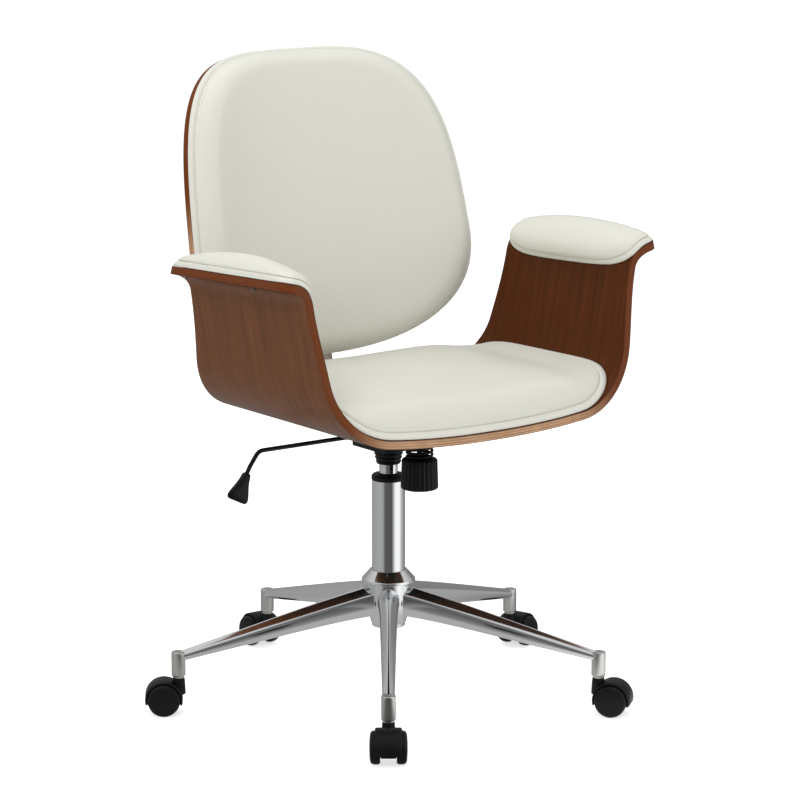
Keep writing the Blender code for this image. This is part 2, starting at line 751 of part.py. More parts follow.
def leg_section(reach, top, tall, wide):
    """Gives a leg's section at a distance from the column: an oval with a crease along its top."""
    count = 14
    ring = []
    for i in range(count):
        angle = math.pi / 2 + 2 * math.pi * i / count
        power = 1.30 if math.sin(angle) > 0.0 else 0.90
        side = wide / 2 * signed_power(math.cos(angle), 0.85)
        up = tall / 2 * signed_power(math.sin(angle), power)
        ring.append(Vector((reach, side, top - tall / 2 + up)))
    return ring


def make_base():
    """Makes the hub and its five legs, each leg ending in a caster socket."""
    bore = COLUMN_RADIUS + TOUCH
    hub = turned_mesh("base_hub", [
        (bore + HUB_CONE_TOP_WALL, HUB_TOP_Z), (HUB_LIP_RADIUS, HUB_LIP_BOTTOM_Z + HUB_LIP_HEIGHT),
        (HUB_LIP_RADIUS, HUB_LIP_BOTTOM_Z), (HUB_RADIUS, HUB_LIP_BOTTOM_Z),
        (HUB_RADIUS, HUB_BOTTOM_Z + 0.0160), (HUB_RADIUS - 0.0045, HUB_BOTTOM_Z),
        (bore, HUB_BOTTOM_Z), (bore, HUB_TOP_Z),
    ], 32, closed=True)
    place("base_hub", hub, "chrome")

    leg = loft_mesh("leg", [
        leg_section(HUB_RADIUS - LEG_ROOT_LAP, LEG_ROOT_TOP_Z, LEG_ROOT_HEIGHT, LEG_ROOT_WIDTH),
        leg_section(STEM_CIRCLE_RADIUS, LEG_TIP_TOP_Z, LEG_TIP_HEIGHT, LEG_TIP_WIDTH),
    ])
    top = LEG_TIP_TOP_Z + 0.0005
    socket = turned_mesh("socket", [
        (0.0, top), (SOCKET_RADIUS - SOCKET_CHAMFER, top), (SOCKET_RADIUS, top - SOCKET_CHAMFER),
        (SOCKET_RADIUS, SOCKET_BOTTOM_Z + SOCKET_CHAMFER),
        (SOCKET_RADIUS - SOCKET_CHAMFER, SOCKET_BOTTOM_Z), (0.0, SOCKET_BOTTOM_Z),
    ], 18)
    socket = moved(socket, (STEM_CIRCLE_RADIUS, 0.0, 0.0))
    leg = combine(leg, [socket], "UNION")
    hub_room = rod_mesh("hub_room", HUB_RADIUS + TOUCH, (0.0, 0.0, 0.0), (0.0, 0.0, 0.3), 32)
    hole_top = SOCKET_BOTTOM_Z - 2 * TOUCH + 0.0230 + TOUCH
    stem_hole = rod_mesh("stem_hole", STEM_RADIUS + TOUCH, (STEM_CIRCLE_RADIUS, 0.0, 0.0),
                         (STEM_CIRCLE_RADIUS, 0.0, hole_top), 14)
    leg = combine(leg, [hub_room, stem_hole], "DIFFERENCE")
    for number in range(1, LEG_COUNT + 1):
        heading = math.radians(FIRST_LEG_ANGLE + 360 / LEG_COUNT * (number - 1))
        place("leg_%d" % number, leg, "chrome", turn=Matrix.Rotation(heading, 3, "Z"))


def make_column():
    """Makes the gas lift: outer tube, guide sleeve, bearing, piston rod, cylinder and valve."""
    inner = COLUMN_RADIUS - COLUMN_WALL
    hole = PISTON_RADIUS + TOUCH
    floor_top = COLUMN_BOTTOM_Z + COLUMN_FLOOR
    tube = turned_mesh("column_tube", [
        (COLUMN_RADIUS, COLUMN_TOP_Z), (COLUMN_RADIUS, COLUMN_BOTTOM_Z),
        (hole, COLUMN_BOTTOM_Z), (hole, floor_top), (inner, floor_top), (inner, COLUMN_TOP_Z),
    ], 32, closed=True)
    place("column_tube", tube, "chrome")

    clear = CYLINDER_RADIUS + RUNNING
    outside = COLUMN_RADIUS + COLLAR_OVERHANG
    foot = COLUMN_TOP_Z + TOUCH
    collar = turned_mesh("column_collar", [
        (outside - 0.0030, COLLAR_TOP_Z), (outside, COLLAR_TOP_Z - 0.0030), (outside, foot),
        (clear, foot), (clear, COLLAR_TOP_Z),
    ], 28, closed=True)
    place("column_collar", collar, "plastic")

    sleeve_top = COLUMN_TOP_Z
    sleeve = turned_mesh("guide_sleeve", [
        (inner - TOUCH, sleeve_top), (inner - TOUCH, sleeve_top - SLEEVE_LENGTH),
        (clear, sleeve_top - SLEEVE_LENGTH), (clear, sleeve_top),
    ], 28, closed=True)
    place("guide_sleeve", sleeve, "plastic")

    bearing_foot = floor_top + TOUCH
    bearing_top = bearing_foot + BEARING_HEIGHT
    bearing = turned_mesh("thrust_bearing", [
        (BEARING_RADIUS, bearing_top), (BEARING_RADIUS, bearing_foot),
        (hole, bearing_foot), (hole, bearing_top),
    ], 20, closed=True)
    place("thrust_bearing", bearing, "steel")

    shoulder_foot = bearing_top + TOUCH
    shoulder_top = shoulder_foot + PISTON_SHOULDER_HEIGHT
    groove_top = COLUMN_BOTTOM_Z - TOUCH
    groove_foot = groove_top - CLIP_THICKNESS - TOUCH
    groove = PISTON_RADIUS - 0.0010
    rod_foot = COLUMN_BOTTOM_Z - PISTON_TAIL
    rod = turned_mesh("piston_rod", [
        (0.0, PISTON_TOP_Z), (PISTON_RADIUS, PISTON_TOP_Z), (PISTON_RADIUS, shoulder_top),
        (PISTON_SHOULDER_RADIUS, shoulder_top), (PISTON_SHOULDER_RADIUS, shoulder_foot),
        (PISTON_RADIUS, shoulder_foot), (PISTON_RADIUS, groove_top), (groove, groove_top),
        (groove, groove_foot), (PISTON_RADIUS, groove_foot), (PISTON_RADIUS, rod_foot),
        (0.0, rod_foot),
    ], 16)
    place("piston_rod", rod, "steel")

    clip_top = groove_top - TOUCH / 2
    clip = turned_mesh("retaining_clip", [
        (CLIP_RADIUS, clip_top), (CLIP_RADIUS, clip_top - CLIP_THICKNESS),
        (groove + TOUCH, clip_top - CLIP_THICKNESS), (groove + TOUCH, clip_top),
    ], 16, closed=True)
    place("retaining_clip", clip, "steel")

    narrow = CYLINDER_RADIUS - CYLINDER_TAPER
    bore = PISTON_RADIUS + TOUCH
    well = VALVE_RADIUS + TOUCH
    well_floor = CYLINDER_TOP_Z - VALVE_TRAVEL - 0.0060
    cylinder = turned_mesh("gas_cylinder", [
        (0.0, well_floor), (well, well_floor), (well, CYLINDER_TOP_Z),
        (narrow - 0.0010, CYLINDER_TOP_Z), (narrow, CYLINDER_TOP_Z - 0.0010),
        (CYLINDER_RADIUS, TRAY_BOTTOM_Z - CUP_HEIGHT), (CYLINDER_RADIUS, CYLINDER_FOOT_Z + 0.0010),
        (CYLINDER_RADIUS - 0.0010, CYLINDER_FOOT_Z), (bore, CYLINDER_FOOT_Z),
        (bore, PISTON_TOP_Z + 0.0080), (0.0, PISTON_TOP_Z + 0.0080),
    ], 28)
    place("gas_cylinder", cylinder, "chrome")

    button = turned_mesh("valve_button", [
        (0.0, VALVE_TOP_Z), (VALVE_RADIUS - 0.0008, VALVE_TOP_Z),
        (VALVE_RADIUS, VALVE_TOP_Z - 0.0008), (VALVE_RADIUS, CYLINDER_TOP_Z - 0.0040),
        (0.0, CYLINDER_TOP_Z - 0.0040),
    ], 14)
    place("valve_button", button, "steel")


def make_mechanism():
    """Makes the tilt mechanism: tray with its cup, axle, seat plate, bolts, spring and knob."""
    floor = TRAY_BOTTOM_Z
    raised = floor + TRAY_STEP
    rear_top = floor + TRAY_REAR_HEIGHT
    front_top = PLATE_BOTTOM_Z - TOUCH
    stop_y = -TRAY_FRONT + 0.0250
    outline = [
        (-TRAY_FRONT, front_top), (-TRAY_FRONT, raised), (-TRAY_STEP_FRONT - 0.0100, raised),
        (-TRAY_STEP_FRONT, floor), (TRAY_REAR, floor), (TRAY_REAR, rear_top),
        (-TILT_AXLE_FRONT + 0.0080, TILT_AXLE_Z + 0.0080),
        (-TILT_AXLE_FRONT - 0.0080, TILT_AXLE_Z + 0.0080), (stop_y, front_top),
    ]
    tray = prism_mesh("tray", outline, -TRAY_HALF_WIDTH, TRAY_HALF_WIDTH)
    wall = TRAY_WALL
    inside = [
        (-TRAY_FRONT + wall, front_top + 0.01), (-TRAY_FRONT + wall, raised + wall),
        (-TRAY_STEP_FRONT - 0.0100, raised + wall), (-TRAY_STEP_FRONT, floor + wall),
        (TRAY_REAR - wall, floor + wall), (TRAY_REAR - wall, front_top + 0.01),
    ]
    room = prism_mesh("room", inside, -TRAY_HALF_WIDTH + wall, TRAY_HALF_WIDTH - wall)
    tray = combine(tray, [room], "DIFFERENCE")
    cup_foot = floor - CUP_HEIGHT
    cup = turned_mesh("cup", [
        (CYLINDER_RADIUS + CUP_WALL + CUP_FLARE, floor + 0.0010),
        (CYLINDER_RADIUS + CUP_WALL, cup_foot), (0.0, cup_foot), (0.0, floor + 0.0010),
    ], 28, closed=True)
    tray = combine(tray, [cup], "UNION")
    taper = turned_mesh("taper", [
        (0.0, floor + 0.0100), (CYLINDER_RADIUS - CYLINDER_TAPER + TOUCH, floor + 0.0100),
        (CYLINDER_RADIUS - CYLINDER_TAPER + TOUCH, floor + TRAY_WALL),
        (CYLINDER_RADIUS + TOUCH, cup_foot), (CYLINDER_RADIUS + TOUCH, cup_foot - 0.0100),
        (0.0, cup_foot - 0.0100),
    ], 28)
    axle_y = -TILT_AXLE_FRONT
    far = PLATE_HALF_WIDTH
    axle_hole = rod_mesh("axle_hole", TILT_AXLE_RADIUS + TOUCH, (-far, axle_y, TILT_AXLE_Z),
                         (far, axle_y, TILT_AXLE_Z), 16)
    bush_hole = rod_mesh("bush_hole", BUSH_RADIUS + 0.0005, (-TRAY_HALF_WIDTH - 0.01, 0.0, LEVER_Z),
                         (-TRAY_HALF_WIDTH + 0.01, 0.0, LEVER_Z), 20)
    bolt_hole = rod_mesh("bolt_hole", TENSION_BOLT_RADIUS + TENSION_BOLT_SWAY,
                         (0.0, -TENSION_FRONT, raised - 0.01), (0.0, -TENSION_FRONT, raised + 0.01), 20)
    tray = combine(tray, [taper, axle_hole, bush_hole, bolt_hole], "DIFFERENCE")
    place("mechanism_tray", tray, "black_steel")

    flange_inner = TRAY_HALF_WIDTH + TOUCH
    flange_outer = flange_inner + TRAY_WALL
    head_foot = flange_outer + TOUCH
    axle_end = head_foot + TILT_HEAD_HEIGHT / 2
    axle = rod_mesh("axle", TILT_AXLE_RADIUS, (-axle_end, axle_y, TILT_AXLE_Z),
                    (axle_end, axle_y, TILT_AXLE_Z), 16)
    heads = [rod_mesh("head", TILT_HEAD_RADIUS, (sign * head_foot, axle_y, TILT_AXLE_Z),
                      (sign * (head_foot + TILT_HEAD_HEIGHT), axle_y, TILT_AXLE_Z), 16)
             for sign in (-1.0, 1.0)]
    place("tilt_axle", combine(axle, heads, "UNION"), "steel")

    plate = box_mesh("plate", (-PLATE_HALF_WIDTH, -PLATE_FRONT, PLATE_BOTTOM_Z),
                     (PLATE_HALF_WIDTH, PLATE_REAR, PLATE_TOP_Z))
    plate = bevelled_corners(plate, 0.0150)
    flanges = [box_mesh("flange", (min(sign * flange_inner, sign * flange_outer),
                                   axle_y - FLANGE_LENGTH / 2, PLATE_BOTTOM_Z - FLANGE_DEPTH),
                        (max(sign * flange_inner, sign * flange_outer),
                         axle_y + FLANGE_LENGTH / 2 - 0.0080, PLATE_BOTTOM_Z + 0.0010))
               for sign in (-1.0, 1.0)]
    plate = combine(plate, flanges, "UNION")
    holes = [moved(axle_hole)]
    for x in (-SEAT_BOLT_X, SEAT_BOLT_X):
        for y in (-SEAT_BOLT_Y, SEAT_BOLT_Y):
            holes.append(rod_mesh("bolt", SEAT_BOLT_RADIUS + TOUCH, (x, y, PLATE_BOTTOM_Z - 0.01),
                                  (x, y, PLATE_TOP_Z + 0.01), 12))
    holes.append(rod_mesh("stud", TENSION_BOLT_RADIUS + TOUCH,
                          (0.0, -TENSION_FRONT, PLATE_BOTTOM_Z - 0.01),
                          (0.0, -TENSION_FRONT, PLATE_TOP_Z - 0.0010), 16))
    plate = combine(plate, holes, "DIFFERENCE")
    place("seat_plate", plate, "black_steel")

    head_top = PLATE_BOTTOM_Z - TOUCH
    number = 1
    for y in (-SEAT_BOLT_Y, SEAT_BOLT_Y):
        for x in (-SEAT_BOLT_X, SEAT_BOLT_X):
            shank = rod_mesh("shank", SEAT_BOLT_RADIUS, (0.0, 0.0, head_top - 0.0010),
                             (0.0, 0.0, SEAT_UNDER_Z + SEAT_BOLT_BITE), 12)
            head = rod_mesh("head", SEAT_BOLT_HEAD_RADIUS, (0.0, 0.0, head_top - SEAT_BOLT_HEAD_HEIGHT),
                            (0.0, 0.0, head_top), 6)
            place("seat_bolt_%d" % number, combine(head, [shank], "UNION"), "steel", (x, y, 0.0))
            number += 1

    stud_top = PLATE_TOP_Z - 0.0010 - TOUCH
    stud = rod_mesh("tension_bolt", TENSION_BOLT_RADIUS, (0.0, 0.0, KNOB_BOTTOM_Z + 0.0020),
                    (0.0, 0.0, stud_top), 16)
    stud_head = rod_mesh("stud_head", TENSION_BOLT_RADIUS + 0.0035,
                         (0.0, 0.0, PLATE_BOTTOM_Z - TOUCH - 0.0040),
                         (0.0, 0.0, PLATE_BOTTOM_Z - TOUCH), 6)
    place("tension_bolt", combine(stud, [stud_head], "UNION"), "steel", (0.0, -TENSION_FRONT, 0.0))


def bevelled_corners(mesh, radius):
    """Rounds the upright corner edges of a flat plate."""
    made = bmesh.new()
    made.from_mesh(mesh)
    upright = [e for e in made.edges
               if abs((e.verts[0].co - e.verts[1].co).normalized().z) > 0.99]
    bmesh.ops.bevel(made, geom=upright, offset=radius, segments=4, profile=0.5, affect="EDGES",
                    clamp_overlap=True)
    made.to_mesh(mesh)
    made.free()
    return mesh


def make_tension_knob():
    """Makes the spring's washer, the ribbed knob that turns on the bolt, and the coil spring."""
    axis = (0.0, -TENSION_FRONT, 0.0)
    hole = TENSION_BOLT_RADIUS + TOUCH
    washer_radius = SPRING_RADIUS + SPRING_WIRE_RADIUS + 0.0002
    washer = turned_mesh("tension_washer", [
        (washer_radius, WASHER_Z + WASHER_THICKNESS), (washer_radius, WASHER_Z),
        (hole, WASHER_Z), (hole, WASHER_Z + WASHER_THICKNESS),
    ], 24, closed=True)
    place("tension_washer", washer, "steel", axis)

    rings = []
    for height, radius, depth in (
        (KNOB_BOTTOM_Z, KNOB_BOTTOM_RADIUS - 0.0020, 0.0),
        (KNOB_BOTTOM_Z + 0.0020, KNOB_BOTTOM_RADIUS, KNOB_RIB_DEPTH),
        (KNOB_TOP_Z - 0.0020, KNOB_TOP_RADIUS, KNOB_RIB_DEPTH),
        (KNOB_TOP_Z, KNOB_TOP_RADIUS - 0.0015, 0.0),
    ):
        count = KNOB_RIBS * 2
        ring = []
        for i in range(count):
            angle = 2 * math.pi * i / count
            reach = radius - (depth if i % 2 else 0.0)
            ring.append(Vector((reach * math.cos(angle), reach * math.sin(angle), height)))
        rings.append(ring)
    knob = loft_mesh("knob", rings)
    room = turned_mesh("room", [
        (0.0, KNOB_TOP_Z + 0.01), (KNOB_TOP_RADIUS - KNOB_RIB_DEPTH - KNOB_WALL, KNOB_TOP_Z + 0.01),
        (KNOB_TOP_RADIUS - KNOB_RIB_DEPTH - KNOB_WALL, KNOB_BOTTOM_Z + KNOB_FLOOR),
        (0.0, KNOB_BOTTOM_Z + KNOB_FLOOR),
    ], 32)
    thread = rod_mesh("thread", hole, (0.0, 0.0, KNOB_BOTTOM_Z - 0.01),
                      (0.0, 0.0, KNOB_BOTTOM_Z + 0.02), 16)
    place("tension_knob", combine(knob, [room, thread], "DIFFERENCE"), "plastic", axis)

    low = WASHER_Z + WASHER_THICKNESS + TOUCH + SPRING_WIRE_RADIUS
    high = SPRING_SEAT_Z - TOUCH - SPRING_WIRE_RADIUS
    total = SPRING_TURNS * SPRING_POINTS_PER_TURN
    points = []
    for i in range(total + 1):
        angle = 2 * math.pi * i / SPRING_POINTS_PER_TURN
        rise = low + (high - low) * i / total
        points.append(Vector((SPRING_RADIUS * math.cos(angle), SPRING_RADIUS * math.sin(angle), rise)))
    print("least gap between the spring's turns, mm:",
          round(least_gap(points, SPRING_WIRE_RADIUS, SPRING_POINTS_PER_TURN) * 1000, 2))
    spring = tube_mesh("tension_spring", points, SPRING_WIRE_RADIUS, 1)
    place("tension_spring", spring, "black_steel", axis)


def least_gap(points, radius, per_turn):
    """Measures the least free space between one turn of a coil and the next."""
    least = 1.0
    for i, here in enumerate(points):
        for there in points[i + per_turn // 2 + 1:]:
            least = min(least, (here - there).length - 2 * radius)
    return least


def make_lever():
    """Makes the height lever's bush, bent rod and paddle handle, which leave to the sitter's right."""
    side = -TRAY_HALF_WIDTH
    bush = turned_mesh("lever_bush", [
        (BUSH_RADIUS - 0.0010, BUSH_LENGTH / 2), (BUSH_RADIUS, BUSH_LENGTH / 2 - 0.0015),
        (BUSH_RADIUS, -BUSH_LENGTH / 2 + 0.0015), (BUSH_RADIUS - 0.0010, -BUSH_LENGTH / 2),
        (LEVER_RADIUS + TOUCH, -BUSH_LENGTH / 2), (LEVER_RADIUS + TOUCH, BUSH_LENGTH / 2),
    ], 18, closed=True)
    pivot = (side + TRAY_WALL / 2, 0.0, LEVER_Z)
    place("lever_bush", bush, "plastic", pivot, Matrix.Rotation(math.pi / 2, 3, "Y"))

    start = pivot[0] - LEVER_KINK_START
    run_z = LEVER_Z + LEVER_KINK_RISE
    run_start = start - LEVER_KINK_LENGTH
    run_end = run_start - LEVER_RUN
    drop = (run_end - LEVER_DROP_OUT, run_z - LEVER_DROP)
    corners = [
        (LEVER_INNER_REACH, LEVER_Z), (start, LEVER_Z), (run_start, run_z), (run_end, run_z), drop,
    ]
    lean = math.radians(HANDLE_LEAN_DEG)
    handle_way = Vector((-math.sin(lean), 0.0, -math.cos(lean)))
    origin = Vector((drop[0], 0.0, drop[1])) + handle_way * LEVER_BEND
    grip = origin + handle_way * HANDLE_GRIP_ON_ROD
    path = [Vector((x, 0.0, z)) for x, z in corners] + [grip]
    rod = tube_mesh("lever_rod", rounded(path, LEVER_BEND, 4), LEVER_RADIUS, 2)
    rod.transform(Matrix.Translation(-Vector(pivot)))
    place("lever_rod", rod, "black_steel", pivot)

    rings = []
    across = Vector((math.cos(lean), 0.0, -math.sin(lean)))
    for t, wide, thick in (
        (0.00, HANDLE_TOP_WIDTH * 0.80, HANDLE_THICKNESS * 0.80), (0.06, HANDLE_TOP_WIDTH, HANDLE_THICKNESS),
        (0.30, HANDLE_TOP_WIDTH * 1.15, HANDLE_THICKNESS), (0.62, HANDLE_BOTTOM_WIDTH * 0.80, HANDLE_THICKNESS),
        (0.84, HANDLE_BOTTOM_WIDTH, HANDLE_THICKNESS * 0.92), (0.96, HANDLE_BOTTOM_WIDTH * 0.88,
                                                                HANDLE_THICKNESS * 0.75),
        (1.00, HANDLE_BOTTOM_WIDTH * 0.70, HANDLE_THICKNESS * 0.50),
    ):
        centre = origin + handle_way * HANDLE_LENGTH * t
        ring = []
        for i in range(16):
            angle = 2 * math.pi * i / 16
            ring.append(centre + across * (wide / 2 * signed_power(math.cos(angle), 0.75))
                        + Vector((0.0, thick / 2 * signed_power(math.sin(angle), 0.75), 0.0)))
        rings.append(ring)
    handle = loft_mesh("handle", rings)
    socket = rod_mesh("socket", LEVER_RADIUS + TOUCH, origin - handle_way * LEVER_BEND,
                      grip + handle_way * TOUCH)
    handle = combine(handle, [socket], "DIFFERENCE")
    handle.transform(Matrix.Translation(-Vector(pivot)))
    place("lever_handle", handle, "plastic", pivot)


def rounded(path, radius, steps):
    """Rounds the corners of a path of points with short curves."""
    points = [path[0]]
    for before, corner, after in zip(path, path[1:], path[2:]):
        into = (corner - before).normalized()
        out = (after - corner).normalized()
        reach = min(radius, (corner - before).length * 0.45, (after - corner).length * 0.45)
        first = corner - into * reach
        last = corner + out * reach
        for i in range(steps + 1):
            t = i / steps
            points.append(first * (1 - t) ** 2 + corner * 2 * t * (1 - t) + last * t ** 2)
    points.append(path[-1])
    return points


def make_seat():
    """Makes the bent plywood seat with its arms, its cushion and the two arm pads."""
    columns = []
    for run in range(len(SECTION_RUNS)):
        for i in range(SECTION_STEPS[run]):
            columns.append(STATIONS[run] + (STATIONS[run + 1] - STATIONS[run]) * i / SECTION_STEPS[run])
    columns.append(SECTION_LENGTH)
    columns = [-c for c in reversed(columns[1:])] + columns
    vertices = []
    for along in columns:
        front, rear = shell_reach(along)
        for row in range(SEAT_ROWS + 1):
            t = row / SEAT_ROWS
            vertices.append(seat_point(along, -front + (front + rear) * t, 0.0))
    faces = []
    for c in range(len(columns) - 1):
        for row in range(SEAT_ROWS):
            a = c * (SEAT_ROWS + 1) + row
            b = a + SEAT_ROWS + 1
            faces.append((a, b, b + 1, a + 1))
    sheet = mesh_from("seat_shell", vertices, faces)
    rough = bpy.data.objects.new("seat_shell", sheet)
    CUTTERS.objects.link(rough)
    thick = rough.modifiers.new("ply", "SOLIDIFY")
    thick.thickness = PLY
    thick.offset = 1.0
    thick.use_even_offset = True
    shell = settle(rough)
    holes = []
    for x in (-SEAT_BOLT_X, SEAT_BOLT_X):
        for y in (-SEAT_BOLT_Y, SEAT_BOLT_Y):
            holes.append(rod_mesh("bolt_hole", SEAT_BOLT_RADIUS + TOUCH, (x, y, SEAT_UNDER_Z - 0.01),
                                  (x, y, SEAT_UNDER_Z + SEAT_BOLT_BITE + TOUCH), 12))
    shell = combine(shell, holes, "DIFFERENCE")
    place("seat_shell", shell, "walnut")

    front, rear = shell_reach(0.0)
    centre_y = (rear - front) / 2
    half_y = (rear + front) / 2

    def cushion_outline(angle, inset):
        to_rear = math.sin(angle) > 0.0
        squareness = SEAT_CUSHION_REAR_SQUARENESS if to_rear else SEAT_CUSHION_FRONT_SQUARENESS
        edge = SEAT_CUSHION_REAR_INSET if to_rear else SEAT_CUSHION_FRONT_INSET
        across = (SEAT_CUSHION_HALF_WIDTH - inset) * signed_power(math.cos(angle), 2 / squareness)
        along = (half_y - edge - inset) * signed_power(math.sin(angle), 2 / squareness)
        return across, along

    def cushion_surface(across, along, rise):
        here_front, here_rear = shell_reach(across)
        middle = (here_rear - here_front) / 2
        scale = (here_rear + here_front) / (rear + front)
        fade = 1 - SEAT_CUSHION_FADE * (across / SEAT_CUSHION_HALF_WIDTH) ** 4
        return seat_point(across, middle + along * scale, faded_rise(rise, SEAT_CUSHION_SIDE, fade))

    cushion = padding_mesh("seat_cushion", cushion_outline, cushion_surface,
                           SEAT_CUSHION_SIDE, SEAT_CUSHION_CROWN, SEAT_CUSHION_SHOULDER, 44, 2,
                           across_weight=2.0)
    place("seat_cushion", cushion, "leather")

    pad_middle = SECTION_LENGTH + PAD_OVERHANG - PAD_REACH_DOWN / 2
    for name, sign in (("arm_pad_right", 1.0), ("arm_pad_left", -1.0)):
        front, rear = shell_reach(SECTION_LENGTH - LIP_CORNER_RADIUS)
        half = (front + rear - PAD_FRONT_INSET - PAD_REAR_INSET) / 2

        def pad_outline(angle, inset):
            squareness = PAD_OUTER_SQUARENESS if math.cos(angle) > 0.0 else PAD_INNER_SQUARENESS
            across = (PAD_REACH_DOWN / 2 - inset) * signed_power(math.cos(angle), 2 / squareness)
            along = (half - inset) * signed_power(math.sin(angle), 2 / squareness)
            return across, along

        def pad_surface(across, along, rise):
            middle = (rear - PAD_REAR_INSET - front + PAD_FRONT_INSET) / 2
            fade = 1 - PAD_END_FADE * (along / half) ** 2
            return seat_point(sign * (pad_middle + across), middle + along,
                              faded_rise(rise, PAD_SIDE, fade))

        pad = padding_mesh(name, pad_outline, pad_surface, PAD_SIDE, PAD_CROWN, PAD_SHOULDER, 28, 4,
                           across_weight=4.0)
        place(name, pad, "leather")


def make_back():
    """Makes the bent plywood back, the bar that carries it and its cushion."""
    count = BACK_POINTS
    angles = spread_angles(back_outline, count)
    shares = [1 - ring / BACK_RINGS for ring in range(BACK_RINGS)]
    vertices = []
    for share in shares:
        for angle in angles:
            across, up = back_outline(angle, 0.0)
            vertices.append(back_point(across * share, BACK_LOWER_HEIGHT + up * share, 0.0))
    vertices.append(back_point(0.0, BACK_LOWER_HEIGHT, 0.0))
    middle = len(vertices) - 1
    faces = []
    for row in range(len(shares) - 1):
        faces += band(row * count, (row + 1) * count, count)
    last = (len(shares) - 1) * count
    for i in range(count):
        faces.append((last + i, last + (i + 1) % count, middle))
    sheet = mesh_from("back_shell", vertices, faces)
    rough = bpy.data.objects.new("back_shell", sheet)
    CUTTERS.objects.link(rough)
    thick = rough.modifiers.new("ply", "SOLIDIFY")
    thick.thickness = PLY
    thick.offset = 1.0
    thick.use_even_offset = True
    shell = settle(rough)
    fix_normals(shell)
    place("back_shell", shell, "walnut")

    make_back_bar()

    def cushion_outline(angle, inset):
        return back_outline(angle, BACK_CUSHION_INSET + inset)

    def cushion_surface(across, up, rise):
        return back_point(across, BACK_LOWER_HEIGHT + up, rise)

    cushion = padding_mesh("back_cushion", cushion_outline, cushion_surface,
                           BACK_CUSHION_SIDE, BACK_CUSHION_CROWN, BACK_CUSHION_SHOULDER, BACK_POINTS,
                           BACK_RINGS - 1, BACK_CUSHION_INSET)
    place("back_cushion", cushion, "leather")


def make_back_bar():
    """Makes the flat bar that leaves the seat's underside, bends up and is bolted behind the back."""
    lean = math.radians(BACK_RECLINE_DEG)
    floor_z = SEAT_UNDER_Z - TOUCH
    way = Vector((math.sin(lean), math.cos(lean)))
    away = Vector((math.cos(lean), -math.sin(lean)))
    face = Vector((BACK_FOOT_Y, BACK_FOOT_Z)) + away * TOUCH
    front_y = PLATE_REAR + BAR_GAP_BEHIND_PLATE
    inner = BAR_BEND_RADIUS
    outer = inner + BAR_THICKNESS
    # The bend's centre lies one inner radius above the floor part and ahead of the upright part
    centre_z = floor_z + inner
    foot_on_line = face - away * inner
    centre_y = foot_on_line.x + (centre_z - foot_on_line.y) * math.tan(lean)
    centre = Vector((centre_y, centre_z))
    upright = math.pi / 2 - lean
    steps = 6
    bend = [math.pi * 1.5 + upright * i / steps for i in range(steps + 1)]
    top = face + way * BAR_UP_THE_BACK
    near = [Vector((front_y, floor_z))]
    near += [centre + Vector((math.cos(a), math.sin(a))) * inner for a in bend]
    near.append(top)
    far = [top + away * BAR_THICKNESS]
    far += [centre + Vector((math.cos(a), math.sin(a))) * outer for a in reversed(bend)]
    far.append(Vector((front_y, floor_z - BAR_THICKNESS)))
    bar = prism_mesh("back_bar", [(p.x, p.y) for p in near + far], -BAR_WIDTH / 2, BAR_WIDTH / 2)
    bolts = []
    out = Vector((0.0, away.x, away.y))
    for side in (-1.0, 1.0):
        x = side * BAR_WIDTH / 4
        for rise in (BAR_UP_THE_BACK - 0.0200, BAR_UP_THE_BACK - 0.0200 - BAR_BOLT_SPACING):
            at = face + way * rise
            seat = Vector((x, at.x, at.y)) + out * (BAR_THICKNESS / 2)
            bolts.append(rod_mesh("bolt", BAR_BOLT_RADIUS, seat,
                                  seat + out * (BAR_THICKNESS / 2 + BAR_BOLT_HEIGHT), 6))
        under = Vector((x, front_y + 0.0200, floor_z - BAR_THICKNESS / 2))
        bolts.append(rod_mesh("bolt", BAR_BOLT_RADIUS, under,
                              under - UP * (BAR_THICKNESS / 2 + BAR_BOLT_HEIGHT), 6))
    place("back_bar", combine(bar, bolts, "UNION"), "steel")


make_base()
make_casters()
make_column()
make_mechanism()
make_tension_knob()
make_lever()
make_seat()
make_back()
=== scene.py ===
"""Office chair: walnut shells, cream padding and a chromed swivel base, dressed over its frame."""
import json
import math

import bmesh
import bpy
from bpy.props import FloatProperty, FloatVectorProperty, PointerProperty
from mathutils import Matrix, Vector
from mathutils.bvhtree import BVHTree
from mathutils.kdtree import KDTree


